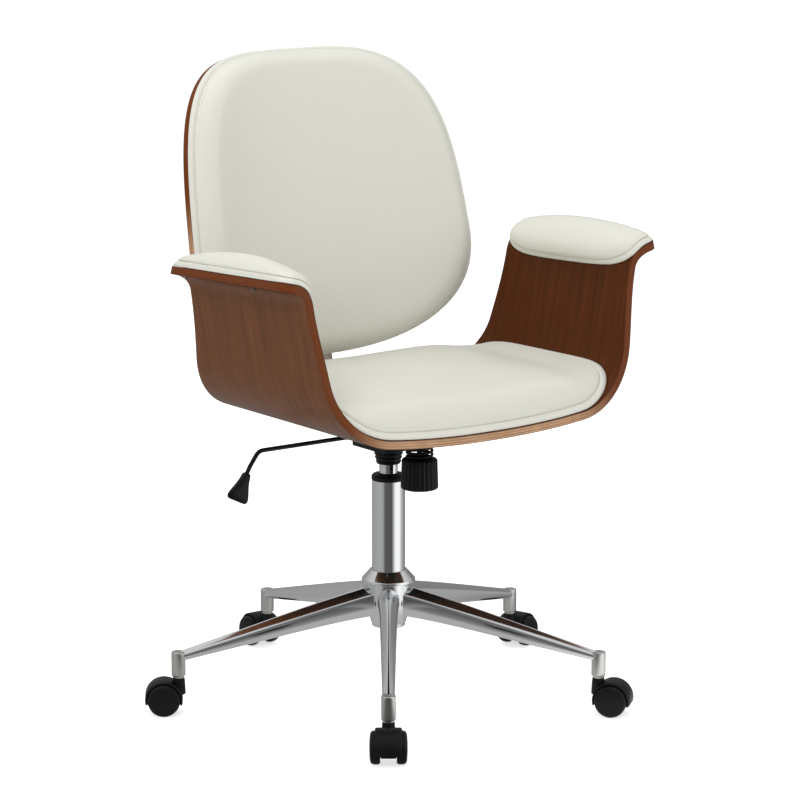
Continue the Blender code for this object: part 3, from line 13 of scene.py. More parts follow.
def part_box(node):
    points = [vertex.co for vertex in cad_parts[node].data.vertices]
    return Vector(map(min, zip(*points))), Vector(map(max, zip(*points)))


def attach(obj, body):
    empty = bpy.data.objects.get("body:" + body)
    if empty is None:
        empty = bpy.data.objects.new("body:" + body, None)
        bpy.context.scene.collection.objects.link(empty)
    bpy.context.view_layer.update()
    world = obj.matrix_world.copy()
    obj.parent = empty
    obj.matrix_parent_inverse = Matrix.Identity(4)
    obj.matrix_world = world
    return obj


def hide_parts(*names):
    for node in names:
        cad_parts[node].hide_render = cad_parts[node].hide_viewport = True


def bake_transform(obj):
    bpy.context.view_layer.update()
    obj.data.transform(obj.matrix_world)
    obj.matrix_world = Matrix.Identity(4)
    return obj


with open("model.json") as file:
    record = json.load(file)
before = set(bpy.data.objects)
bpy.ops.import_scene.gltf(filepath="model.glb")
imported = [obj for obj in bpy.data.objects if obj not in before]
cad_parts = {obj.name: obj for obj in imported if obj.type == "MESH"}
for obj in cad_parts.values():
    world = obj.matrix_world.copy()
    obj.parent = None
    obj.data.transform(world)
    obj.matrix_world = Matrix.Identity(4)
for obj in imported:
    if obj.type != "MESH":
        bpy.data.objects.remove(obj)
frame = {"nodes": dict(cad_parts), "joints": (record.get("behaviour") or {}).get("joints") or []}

bl_info = {
    "name": "Walnut office chair",
    "version": (1, 0, 0),
    "blender": (4, 5, 0),
    "location": "View3D > Sidebar > Chair",
    "description": "Builds the visible pieces of a walnut and cream office chair",
    "category": "Add Mesh",
}

UP = Vector((0.0, 0.0, 1.0))
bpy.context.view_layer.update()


def low_corner(node):
    """Gives a node's lowest corner at rest."""
    return Vector(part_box(node)[0])


def high_corner(node):
    """Gives a node's highest corner at rest."""
    return Vector(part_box(node)[1])


def centre_of(node):
    """Gives the middle of a node's box at rest."""
    return (low_corner(node) + high_corner(node)) / 2


def half_width_of(node, axis):
    """Gives half of a node's size along X, Y or Z."""
    return (high_corner(node)[axis] - low_corner(node)[axis]) / 2


def joint_named(name):
    """Finds a joint of the frame by its name."""
    return next(joint for joint in frame["joints"] if joint["name"] == name)


# The column's axis stands on the floor here
COLUMN = Vector((centre_of("column_tube").x, centre_of("column_tube").y, 0.0))

# Bent plywood of the seat, as its section seen from the front
PLY = 0.0120
FLOOR_HALF_WIDTH = 0.1750
FLOOR_RISE_DEG = 6.0
CORNER_RADIUS = 0.1150
ARM_WALL_DEG = 80.0
ARM_WALL_LENGTH = 0.1115
CURL_RADIUS = 0.0280
LIP_DEG = 14.0
LIP_LENGTH = 0.0200
LIP_CORNER_RADIUS = 0.0300
ARM_SLOPE = 0.0470
SEAT_UNDER_Z = low_corner("seat_shell").z
FRONT_AT = (0.2480, 0.2470, 0.2270, 0.2140, 0.2300)
REAR_AT = (0.1500, 0.1350, 0.0970, 0.0810, 0.0930)

# Bent plywood of the back
BACK_FOOT = Vector((0.0, 0.1790, 0.4965)) + COLUMN
BACK_RECLINE_DEG = 11.5
BACK_PLAN_RADIUS = 0.5000
BACK_HALF_WIDTH = 0.2690
BACK_LOWER_HEIGHT = 0.1620
BACK_UPPER_HEIGHT = 0.3020
BACK_LOWER_SQUARENESS = 2.40
BACK_UPPER_SQUARENESS = 3.4
BACK_TAPER = 0.0700

# Padding
CUSHION_BED = 0.0010
SEAT_CUSHION_HALF_WIDTH = 0.2860
SEAT_CUSHION_FRONT_INSET = 0.0030
SEAT_CUSHION_REAR_INSET = 0.0060
SEAT_CUSHION_SIDE = 0.0100
SEAT_CUSHION_CROWN = 0.0520
SEAT_CUSHION_SHOULDER = 0.0340
SEAT_CUSHION_SQUARENESS = 7.0
SEAT_CUSHION_FADE = 0.9000
BACK_CUSHION_INSET = 0.0020
BACK_CUSHION_SIDE = 0.0100
BACK_CUSHION_CROWN = 0.0280
BACK_CUSHION_SHOULDER = 0.0260
PAD_REACH_DOWN = 0.0560
PAD_OVERHANG = 0.0020
PAD_FRONT_INSET = 0.0010
PAD_REAR_INSET = 0.0040
PAD_SIDE = 0.0080
PAD_CROWN = 0.0240
PAD_SHOULDER = 0.0170
PAD_OUTER_SQUARENESS = 5.0
PAD_INNER_SQUARENESS = 3.2
PAD_END_FADE = 0.7000
PAD_LEAN = 0.1000
COVER_PRESSURE = 3.5
SWELL_SEARCH = 0.0060
SEAM_CREASE = 0.85
STITCH_RADIUS = 0.00035
STITCH_RINGS_ABOVE = 2

# Paddle handle of the lever: share of its length, width and thickness
HANDLE_LENGTH = 0.0440
HANDLE_SHAPE = (
    (0.00, 0.0076, 0.0076), (0.02, 0.0100, 0.0100), (0.07, 0.0124, 0.0124), (0.18, 0.0134, 0.0130),
    (0.34, 0.0172, 0.0130), (0.52, 0.0246, 0.0130), (0.70, 0.0322, 0.0128), (0.84, 0.0366, 0.0118),
    (0.92, 0.0366, 0.0104), (0.97, 0.0338, 0.0082), (0.993, 0.0296, 0.0052), (1.0, 0.0262, 0.0030),
)

# Finishes of a bent sheet, in the order of its material slots
OUTER, INNER, CUT_EDGE = 0, 1, 2
BACK_GRAIN_OFFSET = 2.0
# Painted shade: shares of the walnut colours that darken the inner faces, a shaded copy of the outer veneer
INNER_PAINTED_SHADE = (0.56, 0.41, 0.22)
# Painted shade: the outer walnut darkens to this share on the seat's underside, below these heights
UNDERSIDE_PAINTED_SHADE_FADE = (SEAT_UNDER_Z + 0.004, SEAT_UNDER_Z + 0.022)
UNDERSIDE_PAINTED_SHADE = 0.30
VENEER_LINES = (
    (0.00, 0.30), (0.10, 0.40), (0.14, 0.95), (0.27, 0.90), (0.31, 0.35), (0.39, 0.40), (0.43, 1.0),
    (0.58, 0.95), (0.62, 0.45), (0.69, 0.40), (0.73, 0.90), (0.86, 0.85), (0.90, 0.30), (1.00, 0.20),
)

# Studio: fill from all round, strength of what a gloss mirrors, the floor's own white to the camera,
# the height from which the mirrored floor is laid out, and the greys of the walls by bearing
WHITE = (1.0, 1.0, 1.0, 1.0)
WORLD_FILL = 0.48
BAND_STRENGTH = 1.15
FLOOR_GLOW = 0.62
FLOOR_REACH = 14.0
FLOOR_Z = -0.0004
MIRROR_HEIGHT = 0.2500
STUDIO_WALLS = (
    (0.000, 0.38), (0.044, 0.34), (0.064, 0.25), (0.083, 0.10), (0.150, 0.095), (0.217, 0.08),
    (0.236, 0.33), (0.256, 0.55), (0.275, 0.85), (0.297, 1.0), (0.367, 1.0), (0.389, 0.85),
    (0.417, 0.55), (0.447, 0.40), (0.481, 0.35), (0.525, 0.18), (0.650, 0.25), (0.778, 0.32),
    (0.983, 0.39), (1.000, 0.38),
)
LAMPS = (
    ("key", (-3.0, -2.7, 2.6), 2.2, 62.0), ("fill", (3.2, -2.2, 1.8), 2.4, 20.0),
    ("overhead", (-0.4, 0.6, 3.6), 2.6, 44.0), ("rear", (0.6, 3.6, 2.0), 2.4, 18.0),
)

# Camera, placed from the column's foot
CAMERA_DISTANCE = 5.0
CAMERA_HEIGHT = 1.478
CAMERA_AZIMUTH_DEG = -36.0
CAMERA_DOWN_DEG = 11.58
CAMERA_SENSOR = 36.0
CAMERA_LENS = 154.41
CAMERA_SHIFT = 0.0144


class ChairColours(bpy.types.PropertyGroup):
    """Colours of the chair's finishes."""

    cream: FloatVectorProperty(
        name="Cream cover", description="Smooth coated cover of the cushions and pads",
        subtype="COLOR", size=3, min=0.0, max=1.0, default=(0.770, 0.765, 0.690))
    walnut_dark: FloatVectorProperty(
        name="Walnut, dark grain", description="Darkest lines of the walnut veneer",
        subtype="COLOR", size=3, min=0.0, max=1.0, default=(0.074, 0.024, 0.0055))
    walnut_light: FloatVectorProperty(
        name="Walnut, light grain", description="Palest lines of the walnut veneer",
        subtype="COLOR", size=3, min=0.0, max=1.0, default=(0.222, 0.075, 0.019))
    # Painted light: the pale edge colour stands in for the light on the seat's front edge
    ply_edge_painted_light: FloatVectorProperty(
        name="Plywood edge, pale", description="Varnished cut edge near the middle of a sheet",
        subtype="COLOR", size=3, min=0.0, max=1.0, default=(0.580, 0.345, 0.200))
    ply_edge_deep: FloatVectorProperty(
        name="Plywood edge, deep", description="Varnished cut edge far from the middle of a sheet",
        subtype="COLOR", size=3, min=0.0, max=1.0, default=(0.165, 0.040, 0.006))
    chrome: FloatVectorProperty(
        name="Chrome", description="Polished chrome plate",
        subtype="COLOR", size=3, min=0.0, max=1.0, default=(0.800, 0.810, 0.815))
    black: FloatVectorProperty(
        name="Black mouldings", description="Moulded plastic and painted steel",
        subtype="COLOR", size=3, min=0.0, max=1.0, default=(0.0038, 0.0038, 0.0041))


class ChairSizes(bpy.types.PropertyGroup):
    """Sizes of the details that the finished pieces add to the frame."""

    edge_rounding: FloatProperty(
        name="Plywood edge rounding", description="Radius on the plywood's cut edges",
        subtype="DISTANCE", unit="LENGTH", min=0.0003, max=0.0040, default=0.0014)
    seam_depth: FloatProperty(
        name="Seam depth", description="Depth of the sewn groove round a cushion",
        subtype="DISTANCE", unit="LENGTH", min=0.0, max=0.0030, default=0.0022)
    stitch_gap: FloatProperty(
        name="Stitch spacing", description="Distance from one stitch to the next",
        subtype="DISTANCE", unit="LENGTH", min=0.0020, max=0.0100, default=0.0046)
    stitch_length: FloatProperty(
        name="Stitch length", description="Length of one stitch",
        subtype="DISTANCE", unit="LENGTH", min=0.0010, max=0.0060, default=0.0030)
    swell: FloatProperty(
        name="Swell", description="Furthest that the padding's cover may swell out",
        subtype="DISTANCE", unit="LENGTH", min=0.0, max=0.0100, default=0.0018)


def sizes():
    """Gives the detail sizes that the scene holds."""
    return bpy.context.scene.chair_sizes


def colour_of(name):
    """Gives one of the colours that the scene holds."""
    return tuple(getattr(bpy.context.scene.chair_colours, name))


def feed(tree, made, feeds):
    """Feeds a node's inputs with plain values or with other sockets."""
    for name, value in feeds.items():
        if isinstance(value, bpy.types.NodeSocket):
            tree.links.new(value, made.inputs[name])
        else:
            made.inputs[name].default_value = value


# Node trees


def node(tree, kind, place=(0, 0), feeds=None, **settings):
    """Adds a node, sets its properties and feeds its inputs."""
    made = tree.nodes.new(kind)
    made.location = place
    for name, value in settings.items():
        setattr(made, name, value)
    feed(tree, made, feeds or {})
    return made


def mixed(tree, place, factor, first, second, way="MIX"):
    """Mixes two colours and gives the result's socket."""
    feeds = {0: factor, 6: first, 7: second}
    return node(tree, "ShaderNodeMix", place, feeds, data_type="RGBA", blend_type=way).outputs[2]


def worked(tree, place, operation, *values):
    """Works out a number from others and gives the result's socket."""
    return node(tree, "ShaderNodeMath", place, dict(enumerate(values)), operation=operation).outputs[0]


def spread(tree, place, value, source, target=(0.0, 1.0), way="LINEAR"):
    """Maps one range of values to another and gives the result's socket."""
    feeds = {"Value": value, "From Min": source[0], "From Max": source[1], "To Min": target[0],
             "To Max": target[1]}
    return node(tree, "ShaderNodeMapRange", place, feeds, interpolation_type=way).outputs["Result"]


def group_tree(name, inputs, outputs):
    """Makes a shader node group with named inputs and outputs, or gives the one that exists."""
    tree = bpy.data.node_groups.get(name)
    if tree is not None:
        return tree, False
    tree = bpy.data.node_groups.new(name, "ShaderNodeTree")
    for label, kind, default in inputs:
        socket = tree.interface.new_socket(name=label, in_out="INPUT", socket_type=kind)
        if default is not None:
            socket.default_value = default
    for label, kind in outputs:
        tree.interface.new_socket(name=label, in_out="OUTPUT", socket_type=kind)
    return tree, True


def ramp(tree, stops, place, factor):
    """Adds a colour ramp with the given (position, grey) stops and gives its colour's socket."""
    made = node(tree, "ShaderNodeValToRGB", place, {"Fac": factor})
    elements = made.color_ramp.elements
    while len(elements) < len(stops):
        elements.new(1.0)
    for element, (position, shade) in zip(elements, stops):
        element.position = position
        element.color = (shade, shade, shade, 1.0)
    return made.outputs["Color"]


def handling_group():
    """Makes the group that gives fine unevenness and broad patches from handling."""
    tree, fresh = group_tree("handling", [
        ("Coordinates", "NodeSocketVector", None), ("Fine Scale", "NodeSocketFloat", 900.0),
        ("Patch Scale", "NodeSocketFloat", 9.0),
    ], [("Height", "NodeSocketFloat"), ("Patches", "NodeSocketFloat")])
    if not fresh:
        return tree
    source = node(tree, "NodeGroupInput", (-600, 0)).outputs
    fine = node(tree, "ShaderNodeTexNoise", (-300, 150), {
        "Vector": source["Coordinates"], "Scale": source["Fine Scale"], "Detail": 3.0, "Roughness": 0.6})
    broad = node(tree, "ShaderNodeTexNoise", (-300, -150), {
        "Vector": source["Coordinates"], "Scale": source["Patch Scale"], "Detail": 4.0})
    patches = ramp(tree, [(0.30, 0.0), (0.72, 1.0)], (0, -150), broad.outputs["Fac"])
    node(tree, "NodeGroupOutput", (400, 0), {"Height": fine.outputs["Fac"], "Patches": patches})
    return tree


def grain_group():
    """Makes the walnut grain group: long fibres, slow figure and short dark pores along V."""
    tree, fresh = group_tree("walnut_grain", [
        ("Coordinates", "NodeSocketVector", None),
        ("Dark", "NodeSocketColor", (0.05, 0.02, 0.01, 1.0)),
        ("Light", "NodeSocketColor", (0.16, 0.07, 0.035, 1.0)),
    ], [("Colour", "NodeSocketColor"), ("Height", "NodeSocketFloat"), ("Pores", "NodeSocketFloat")])
    if not fresh:
        return tree
    source = node(tree, "NodeGroupInput", (-1100, 0)).outputs

    def streaks(across, along, detail, roughness, low, high, level):
        mapping = node(tree, "ShaderNodeMapping", (-800, level), {
            "Vector": source["Coordinates"], "Scale": (across, along, 1.0)})
        noise = node(tree, "ShaderNodeTexNoise", (-600, level), {
            "Vector": mapping.outputs["Vector"], "Scale": 1.0, "Detail": detail, "Roughness": roughness})
        return ramp(tree, [(low, 0.0), (high, 1.0)], (-350, level), noise.outputs["Fac"])

    figure = streaks(95.0, 3.2, 4.0, 0.60, 0.22, 0.78, 300)
    fibres = streaks(330.0, 9.0, 5.0, 0.65, 0.30, 0.70, 0)
    pores = streaks(1100.0, 38.0, 2.0, 0.5, 0.58, 0.68, -300)
    blend = node(tree, "ShaderNodeMix", (0, 150), {0: 0.55, 2: fibres, 3: figure}, data_type="FLOAT")
    tone = mixed(tree, (250, 150), blend.outputs[0], source["Dark"], source["Light"])
    dots = worked(tree, (250, -250), "MULTIPLY", pores, 0.55)
    shaded = mixed(tree, (550, 100), dots, tone, source["Dark"])
    relief = worked(tree, (550, -200), "SUBTRACT", fibres, pores)
    node(tree, "NodeGroupOutput", (900, 0), {"Colour": shaded, "Height": relief, "Pores": dots})
    return tree


def new_material(name, colour, roughness, metallic=0.0):
    """Makes a material with a Principled shader, or gives the one that exists."""
    made = bpy.data.materials.get(name)
    if made is not None:
        return made, made.node_tree, None
    made = bpy.data.materials.new(name)
    made.use_nodes = True
    made.diffuse_color = (*colour, 1.0)
    tree = made.node_tree
    shader = tree.nodes["Principled BSDF"]
    feed(tree, shader, {"Base Color": (*colour, 1.0), "Roughness": roughness, "Metallic": metallic})
    return made, tree, shader


def add_bump(tree, shader, height, strength, distance):
    """Feeds a height into the shader's normal."""
    bump = node(tree, "ShaderNodeBump", (-200, -400), {
        "Height": height, "Strength": strength, "Distance": distance})
    feed(tree, shader, {"Normal": bump.outputs["Normal"]})


def handled(tree, fine_scale, patch_scale):
    """Places the handling group on the object's own coordinates and gives its outputs."""
    place = node(tree, "ShaderNodeTexCoord", (-900, -200))
    return node(tree, "ShaderNodeGroup", (-650, -200), {
        "Coordinates": place.outputs["Object"], "Fine Scale": fine_scale, "Patch Scale": patch_scale,
    }, node_tree=handling_group()).outputs


def rough_between(tree, shader, mask, low, high):
    """Lets a mask move the roughness between two values."""
    feed(tree, shader, {"Roughness": spread(tree, (-350, 0), mask, (0.0, 1.0), (low, high))})


def satin_nickel():
    """Satin plate of the caster sockets."""
    return metal("satin_nickel", (0.66, 0.65, 0.62), 0.24, 0.34, 0.25)


def metal(name, colour, low, high, bump):
    """Makes a metal with faint smudges and fine unevenness."""
    made, tree, shader = new_material(name, colour, low, 1.0)
    if shader is None:
        return made
    group = handled(tree, 1400.0, 14.0)
    rough_between(tree, shader, group["Patches"], low, high)
    add_bump(tree, shader, group["Height"], bump, 0.00002)
    return made


def chrome():
    """Polished chrome plate."""
    return metal("polished_chrome", colour_of("chrome"), 0.055, 0.105, 0.06)


def zinc():
    """Plain zinc plated steel of bolts, stems and the back bar."""
    return metal("zinc_plate", (0.62, 0.62, 0.60), 0.30, 0.42, 0.35)


def moulded(name, colour, low, high, scale, bump):
    """Makes a matte moulded or painted surface with fine texture and worn patches."""
    made, tree, shader = new_material(name, colour, low)
    if shader is None:
        return made
    group = handled(tree, scale, 11.0)
    rough_between(tree, shader, group["Patches"], low, high)
    worn = (*[min(1.0, c * 1.7 + 0.002) for c in colour], 1.0)
    tint = mixed(tree, (-300, 300), group["Patches"], (*colour, 1.0), worn)
    feed(tree, shader, {"Base Color": tint, "Specular IOR Level": 0.20})
    add_bump(tree, shader, group["Height"], bump, 0.00012)
    return made


def black_plastic():
    """Moulded matte black plastic."""
    return moulded("black_plastic_finish", colour_of("black"), 0.34, 0.50, 1500.0, 0.35)


def black_paint():
    """Satin black paint on pressed steel."""
    return moulded("black_paint_finish", colour_of("black"), 0.28, 0.44, 2600.0, 0.20)


def cream_cover():
    """Smooth coated cover with a very fine pebbled grain."""
    cream = colour_of("cream")
    made, tree, shader = new_material("cream_cover", cream, 0.46)
    if shader is None:
        return made
    place = node(tree, "ShaderNodeTexCoord", (-1100, 0))
    cells = node(tree, "ShaderNodeTexVoronoi", (-700, -350), feature="SMOOTH_F1")
    feed(tree, cells, {"Vector": place.outputs["Object"], "Scale": 820.0, "Smoothness": 0.6})
    group = handled(tree, 260.0, 4.5)
    height = worked(tree, (-420, -350), "ADD", cells.outputs["Distance"], group["Height"])
    shaded = (cream[0] * 0.985, cream[1] * 0.985, cream[2] * 0.970, 1.0)
    bright = (*[min(1.0, c * 1.015) for c in cream], 1.0)
    feed(tree, shader, {"Base Color": mixed(tree, (-300, 300), group["Patches"], shaded, bright)})
    rough_between(tree, shader, group["Patches"], 0.42, 0.52)
    add_bump(tree, shader, height, 0.22, 0.00012)
    return made


def cream_thread():
    """Sewing thread of the cushions' seams."""
    thread = tuple(c * share for c, share in zip(colour_of("cream"), (0.86, 0.85, 0.80)))
    return moulded("cream_thread", thread, 0.6, 0.75, 3000.0, 0.2)


def walnut(name, dark, light, low, high, gloss):
    """Makes walnut veneer whose fibres run along V of the piece's own UV map."""
    made, tree, shader = new_material(name, light, low)
    if shader is None:
        return made
    place = node(tree, "ShaderNodeUVMap", (-900, 200), uv_map="sheet")
    grain = node(tree, "ShaderNodeGroup", (-600, 200), {
        "Coordinates": place.outputs["UV"], "Dark": (*dark, 1.0), "Light": (*light, 1.0),
    }, node_tree=grain_group()).outputs
    rough_between(tree, shader, grain["Pores"], low, high)
    feed(tree, shader, {"Base Color": grain["Colour"], "Specular IOR Level": gloss, "Coat Weight": gloss,
                        "Coat Roughness": 0.28})
    add_bump(tree, shader, grain["Height"], 0.16, 0.00010)
    return made


def walnut_outer():
    """Walnut veneer of the outer faces, with painted shade that darkens it on the underside of the seat."""
    made = bpy.data.materials.get("walnut_outer")
    if made is not None:
        return made
    made = walnut("walnut_outer", colour_of("walnut_dark"), colour_of("walnut_light"), 0.36, 0.50, 0.16)
    tree = made.node_tree
    shader = tree.nodes["Principled BSDF"]
    grain = shader.inputs["Base Color"].links[0].from_socket
    # Painted shade: darkens the grain's colour towards the underside of the seat
    place = node(tree, "ShaderNodeTexCoord", (-900, 600))
    split = node(tree, "ShaderNodeSeparateXYZ", (-700, 600), {"Vector": place.outputs["Object"]})
    share = spread(tree, (-500, 600), split.outputs["Z"], UNDERSIDE_PAINTED_SHADE_FADE, (UNDERSIDE_PAINTED_SHADE, 1.0),
                   "SMOOTHSTEP")
    feed(tree, shader, {"Base Color": mixed(tree, (-250, 400), 1.0, grain, share, "MULTIPLY")})
    return made


def walnut_inner():
    """Walnut veneer of the inner faces: the outer veneer's colours darkened and a little redder, as painted
    shade inside the shell.
    """
    dark, light = (tuple(c * part for c, part in zip(colour_of(name), INNER_PAINTED_SHADE))
                   for name in ("walnut_dark", "walnut_light"))
    return walnut("walnut_inner", dark, light, 0.38, 0.52, 0.07)


def ply_edge():
    """Varnished plywood edge: veneers of unlike tone through the sheet's thickness, painted paler near the
    middle of the sheet as the light on the front edge.
    """
    pale = colour_of("ply_edge_painted_light")
    deep = colour_of("ply_edge_deep")
    made, tree, shader = new_material("plywood_edge", deep, 0.40)
    if shader is None:
        return made
    place = node(tree, "ShaderNodeUVMap", (-1500, 500), uv_map="sheet")
    split = node(tree, "ShaderNodeSeparateXYZ", (-1300, 500), {"Vector": place.outputs["UV"]})
    # Painted light: the edge turns pale where the sheet's V is small, as at the seat's front middle
    size = worked(tree, (-1100, 500), "ABSOLUTE", split.outputs["Y"])
    reach = spread(tree, (-900, 500), size, (0.15, 0.26), way="SMOOTHSTEP")
    base = mixed(tree, (-650, 500), reach, (*pale, 1.0), (*deep, 1.0))
    depth = node(tree, "ShaderNodeAttribute", (-1100, 200), attribute_name="depth")
    lines = ramp(tree, VENEER_LINES, (-850, 200), depth.outputs["Fac"])
    group = handled(tree, 700.0, 60.0)
    tone = spread(tree, (-550, 300), lines, (0.0, 1.0), (0.35, 1.15))
    shade = mixed(tree, (-350, 300), 1.0, base, tone, "MULTIPLY")
    part = worked(tree, (-350, 80), "MULTIPLY", group["Patches"], 0.25)
    stain = (deep[0] * 0.75, deep[1] * 0.70, deep[2] * 0.60, 1.0)
    feed(tree, shader, {"Base Color": mixed(tree, (-120, 300), part, shade, stain),
                        "Specular IOR Level": 0.20})
    add_bump(tree, shader, group["Height"], 0.12, 0.00010)
    return made


# Meshes


def new_piece(name, mesh, *finishes):
    """Links a mesh as a piece with its materials, smooth but for its sharp edges."""
    mesh.materials.clear()
    for finish in finishes:
        mesh.materials.append(finish)
    mesh.shade_smooth()
    mesh.set_sharp_from_angle(angle=math.radians(38))
    mesh.name = name
    return linked(name, mesh)


def dress(obj, body, slot, *nodes):
    """Fastens a finished piece to its body and hides the nodes it stands for; the slot is not used."""
    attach(obj, body)
    if nodes:
        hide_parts(*nodes)


def fit(name, mesh, finish, body, slot, *nodes):
    """Makes a mesh a finished piece and fastens it."""
    dress(new_piece(name, mesh, finish), body, slot, *nodes)


def stand(name, mesh, finish, body, slot, *nodes):
    """Stands a turned mesh on the column's axis and fastens it."""
    mesh.transform(Matrix.Translation(COLUMN))
    fit(name, mesh, finish, body, slot, *nodes)


def eased_corner(before, corner, after, reach, steps):
    """Gives points on a smooth curve that cuts a corner off, at most a reach from it."""
    first = corner + before.normalized() * reach
    last = corner + after.normalized() * reach
    points = []
    for k in range(steps + 1):
        t = k / steps
        points.append(first * (1 - t) ** 2 + corner * 2 * t * (1 - t) + last * t ** 2)
    return points


def settle(obj):
    """Turns an object with its modifiers into a plain mesh in world space and removes the object."""
    bpy.context.view_layer.update()
    graph = bpy.context.evaluated_depsgraph_get()
    made = bpy.data.meshes.new_from_object(obj.evaluated_get(graph))
    made.transform(obj.matrix_world)
    data = obj.data
    bpy.data.objects.remove(obj)
    if data.users == 0 and isinstance(data, bpy.types.Mesh):
        bpy.data.meshes.remove(data)
    return made


def linked(name, data):
    """Links data as an object."""
    obj = bpy.data.objects.new(name, data)
    bpy.context.scene.collection.objects.link(obj)
    return obj


def outward(mesh):
    """Merges a closed mesh's doubles and points its faces outwards."""
    made = bmesh.new()
    made.from_mesh(mesh)
    bmesh.ops.remove_doubles(made, verts=made.verts, dist=0.000002)
    bmesh.ops.recalc_face_normals(made, faces=made.faces)
    made.to_mesh(mesh)
    made.free()
    return mesh


def mesh_of(name, vertices, faces):
    """Makes a mesh from points and faces that a loft has worked out."""
    made = bpy.data.meshes.new(name)
    made.from_pydata([tuple(v) for v in vertices], [], faces)
    made.update()
    return made


def softened(profile, steps=4):
    """Rounds the corners of a profile whose points may hold a third value, the rounding."""
    points = []
    for i, point in enumerate(profile):
        here = Vector(point[:2])
        rounding = point[2] if len(point) > 2 else 0.0
        if rounding <= 0.0:
            points.append(here)
            continue
        before = Vector(profile[i - 1][:2]) - here
        after = Vector(profile[(i + 1) % len(profile)][:2]) - here
        reach = min(rounding, before.length * 0.48, after.length * 0.48)
        points += eased_corner(before, here, after, reach, steps)
    return points


def turned(name, profile, sides=96, closed=False, steps=4):
    """Turns a profile of (radius, height, rounding) round Z into a closed mesh."""
    points = softened(profile, steps)
    vertices = []
    rings = []
    for radius, height in points:
        if radius < 1e-6:
            rings.append([len(vertices)])
            vertices.append((0.0, 0.0, height))
            continue
        rings.append(list(range(len(vertices), len(vertices) + sides)))
        for k in range(sides):
            angle = 2 * math.pi * k / sides
            vertices.append((radius * math.cos(angle), radius * math.sin(angle), height))
    faces = []
    pairs = list(zip(rings, rings[1:]))
    if closed:
        pairs.append((rings[-1], rings[0]))
    for upper, lower in pairs:
        for k in range(sides):
            j = (k + 1) % sides
            if len(upper) == 1 and len(lower) == 1:
                break
            if len(upper) == 1:
                faces.append((upper[0], lower[k], lower[j]))
            elif len(lower) == 1:
                faces.append((upper[k], lower[0], upper[j]))
            else:
                faces.append((upper[k], lower[k], lower[j], upper[j]))
    return outward(mesh_of(name, vertices, faces))


def lofted(name, rings):
    """Joins closed rings of equal count and closes both ends with a fan."""
    count = len(rings[0])
    vertices = [p for ring in rings for p in ring]
    faces = []
    for row in range(len(rings) - 1):
        for i in range(count):
            j = (i + 1) % count
            faces.append((row * count + i, row * count + j, (row + 1) * count + j, (row + 1) * count + i))
    for start, ring in ((0, rings[0]), ((len(rings) - 1) * count, rings[-1])):
        vertices.append(sum((Vector(p) for p in ring), Vector()) / count)
        middle = len(vertices) - 1
        for i in range(count):
            faces.append((start + i, start + (i + 1) % count, middle))
    return outward(mesh_of(name, vertices, faces))


def tube(name, points, radius, resolution=5):
    """Makes a round tube along a list of points."""
    curve = bpy.data.curves.new(name, "CURVE")
    curve.dimensions = "3D"
    curve.bevel_depth = radius
    curve.bevel_resolution = resolution
    curve.use_fill_caps = True
    spline = curve.splines.new("POLY")
    spline.points.add(len(points) - 1)
    for target, point in zip(spline.points, points):
        target.co = (*point, 1.0)
    made = settle(linked(name, curve))
    bpy.data.curves.remove(curve)
    return outward(made)


def extruded(name, outline, low, high, axis, rounding):
    """Extrudes a closed outline along X or Y and rounds its sharp edges."""
    vertices = []
    for level in (low, high):
        for a, b in outline:
            vertices.append((level, a, b) if axis == "X" else (a, level, b))
    count = len(outline)
    faces = [tuple(range(count)), tuple(range(2 * count - 1, count - 1, -1))]
    for i in range(count):
        j = (i + 1) % count
        faces.append((i, j, count + j, count + i))
    return rounded_edges(outward(mesh_of(name, vertices, faces)), rounding, 40)


def rounded_edges(mesh, width, angle):
    """Rounds the edges of a mesh that are sharper than an angle."""
    rough = linked("rough", mesh)
    bevel = rough.modifiers.new("edges", "BEVEL")
    bevel.width = width
    bevel.segments = 3
    bevel.limit_method = "ANGLE"
    bevel.angle_limit = math.radians(angle)
    return settle(rough)


def subdivided(mesh):
    """Subdivides a mesh once, smoothly."""
    rough = linked("rough", mesh)
    smooth = rough.modifiers.new("smooth", "SUBSURF")
    smooth.levels = 1
    smooth.render_levels = 1
    smooth.uv_smooth = "NONE"
    return settle(rough)


def between(first, last, share):
    """Gives the value a share of the way from one to another."""
    return first + (last - first) * share


def joined(name, meshes):
    """Puts several closed meshes into one."""
    made = bmesh.new()
    for mesh in meshes:
        made.from_mesh(mesh)
    result = bpy.data.meshes.new(name)
    made.to_mesh(result)
    made.free()
    return result


def shifted(mesh, offset, turn=None):
    """Copies a mesh to another place."""
    made = mesh.copy()
    matrix = Matrix.Translation(Vector(offset))
    if turn is not None:
        matrix = matrix @ turn.to_4x4()
    made.transform(matrix)
    return made


def signed_power(value, power):
    """Raises the size of a number to a power and keeps its sign."""
    return math.copysign(abs(value) ** power, value)


def bent(path, reach, steps=10):
    """Rounds the corners of a path of points."""
    points = [path[0]]
    for start, corner, end in zip(path, path[1:], path[2:]):
        before = start - corner
        after = end - corner
        cut = min(reach, before.length * 0.45, after.length * 0.45)
        points += eased_corner(before, corner, after, cut, steps)
    points.append(path[-1])
    return points


# Copies laid out by Geometry Nodes


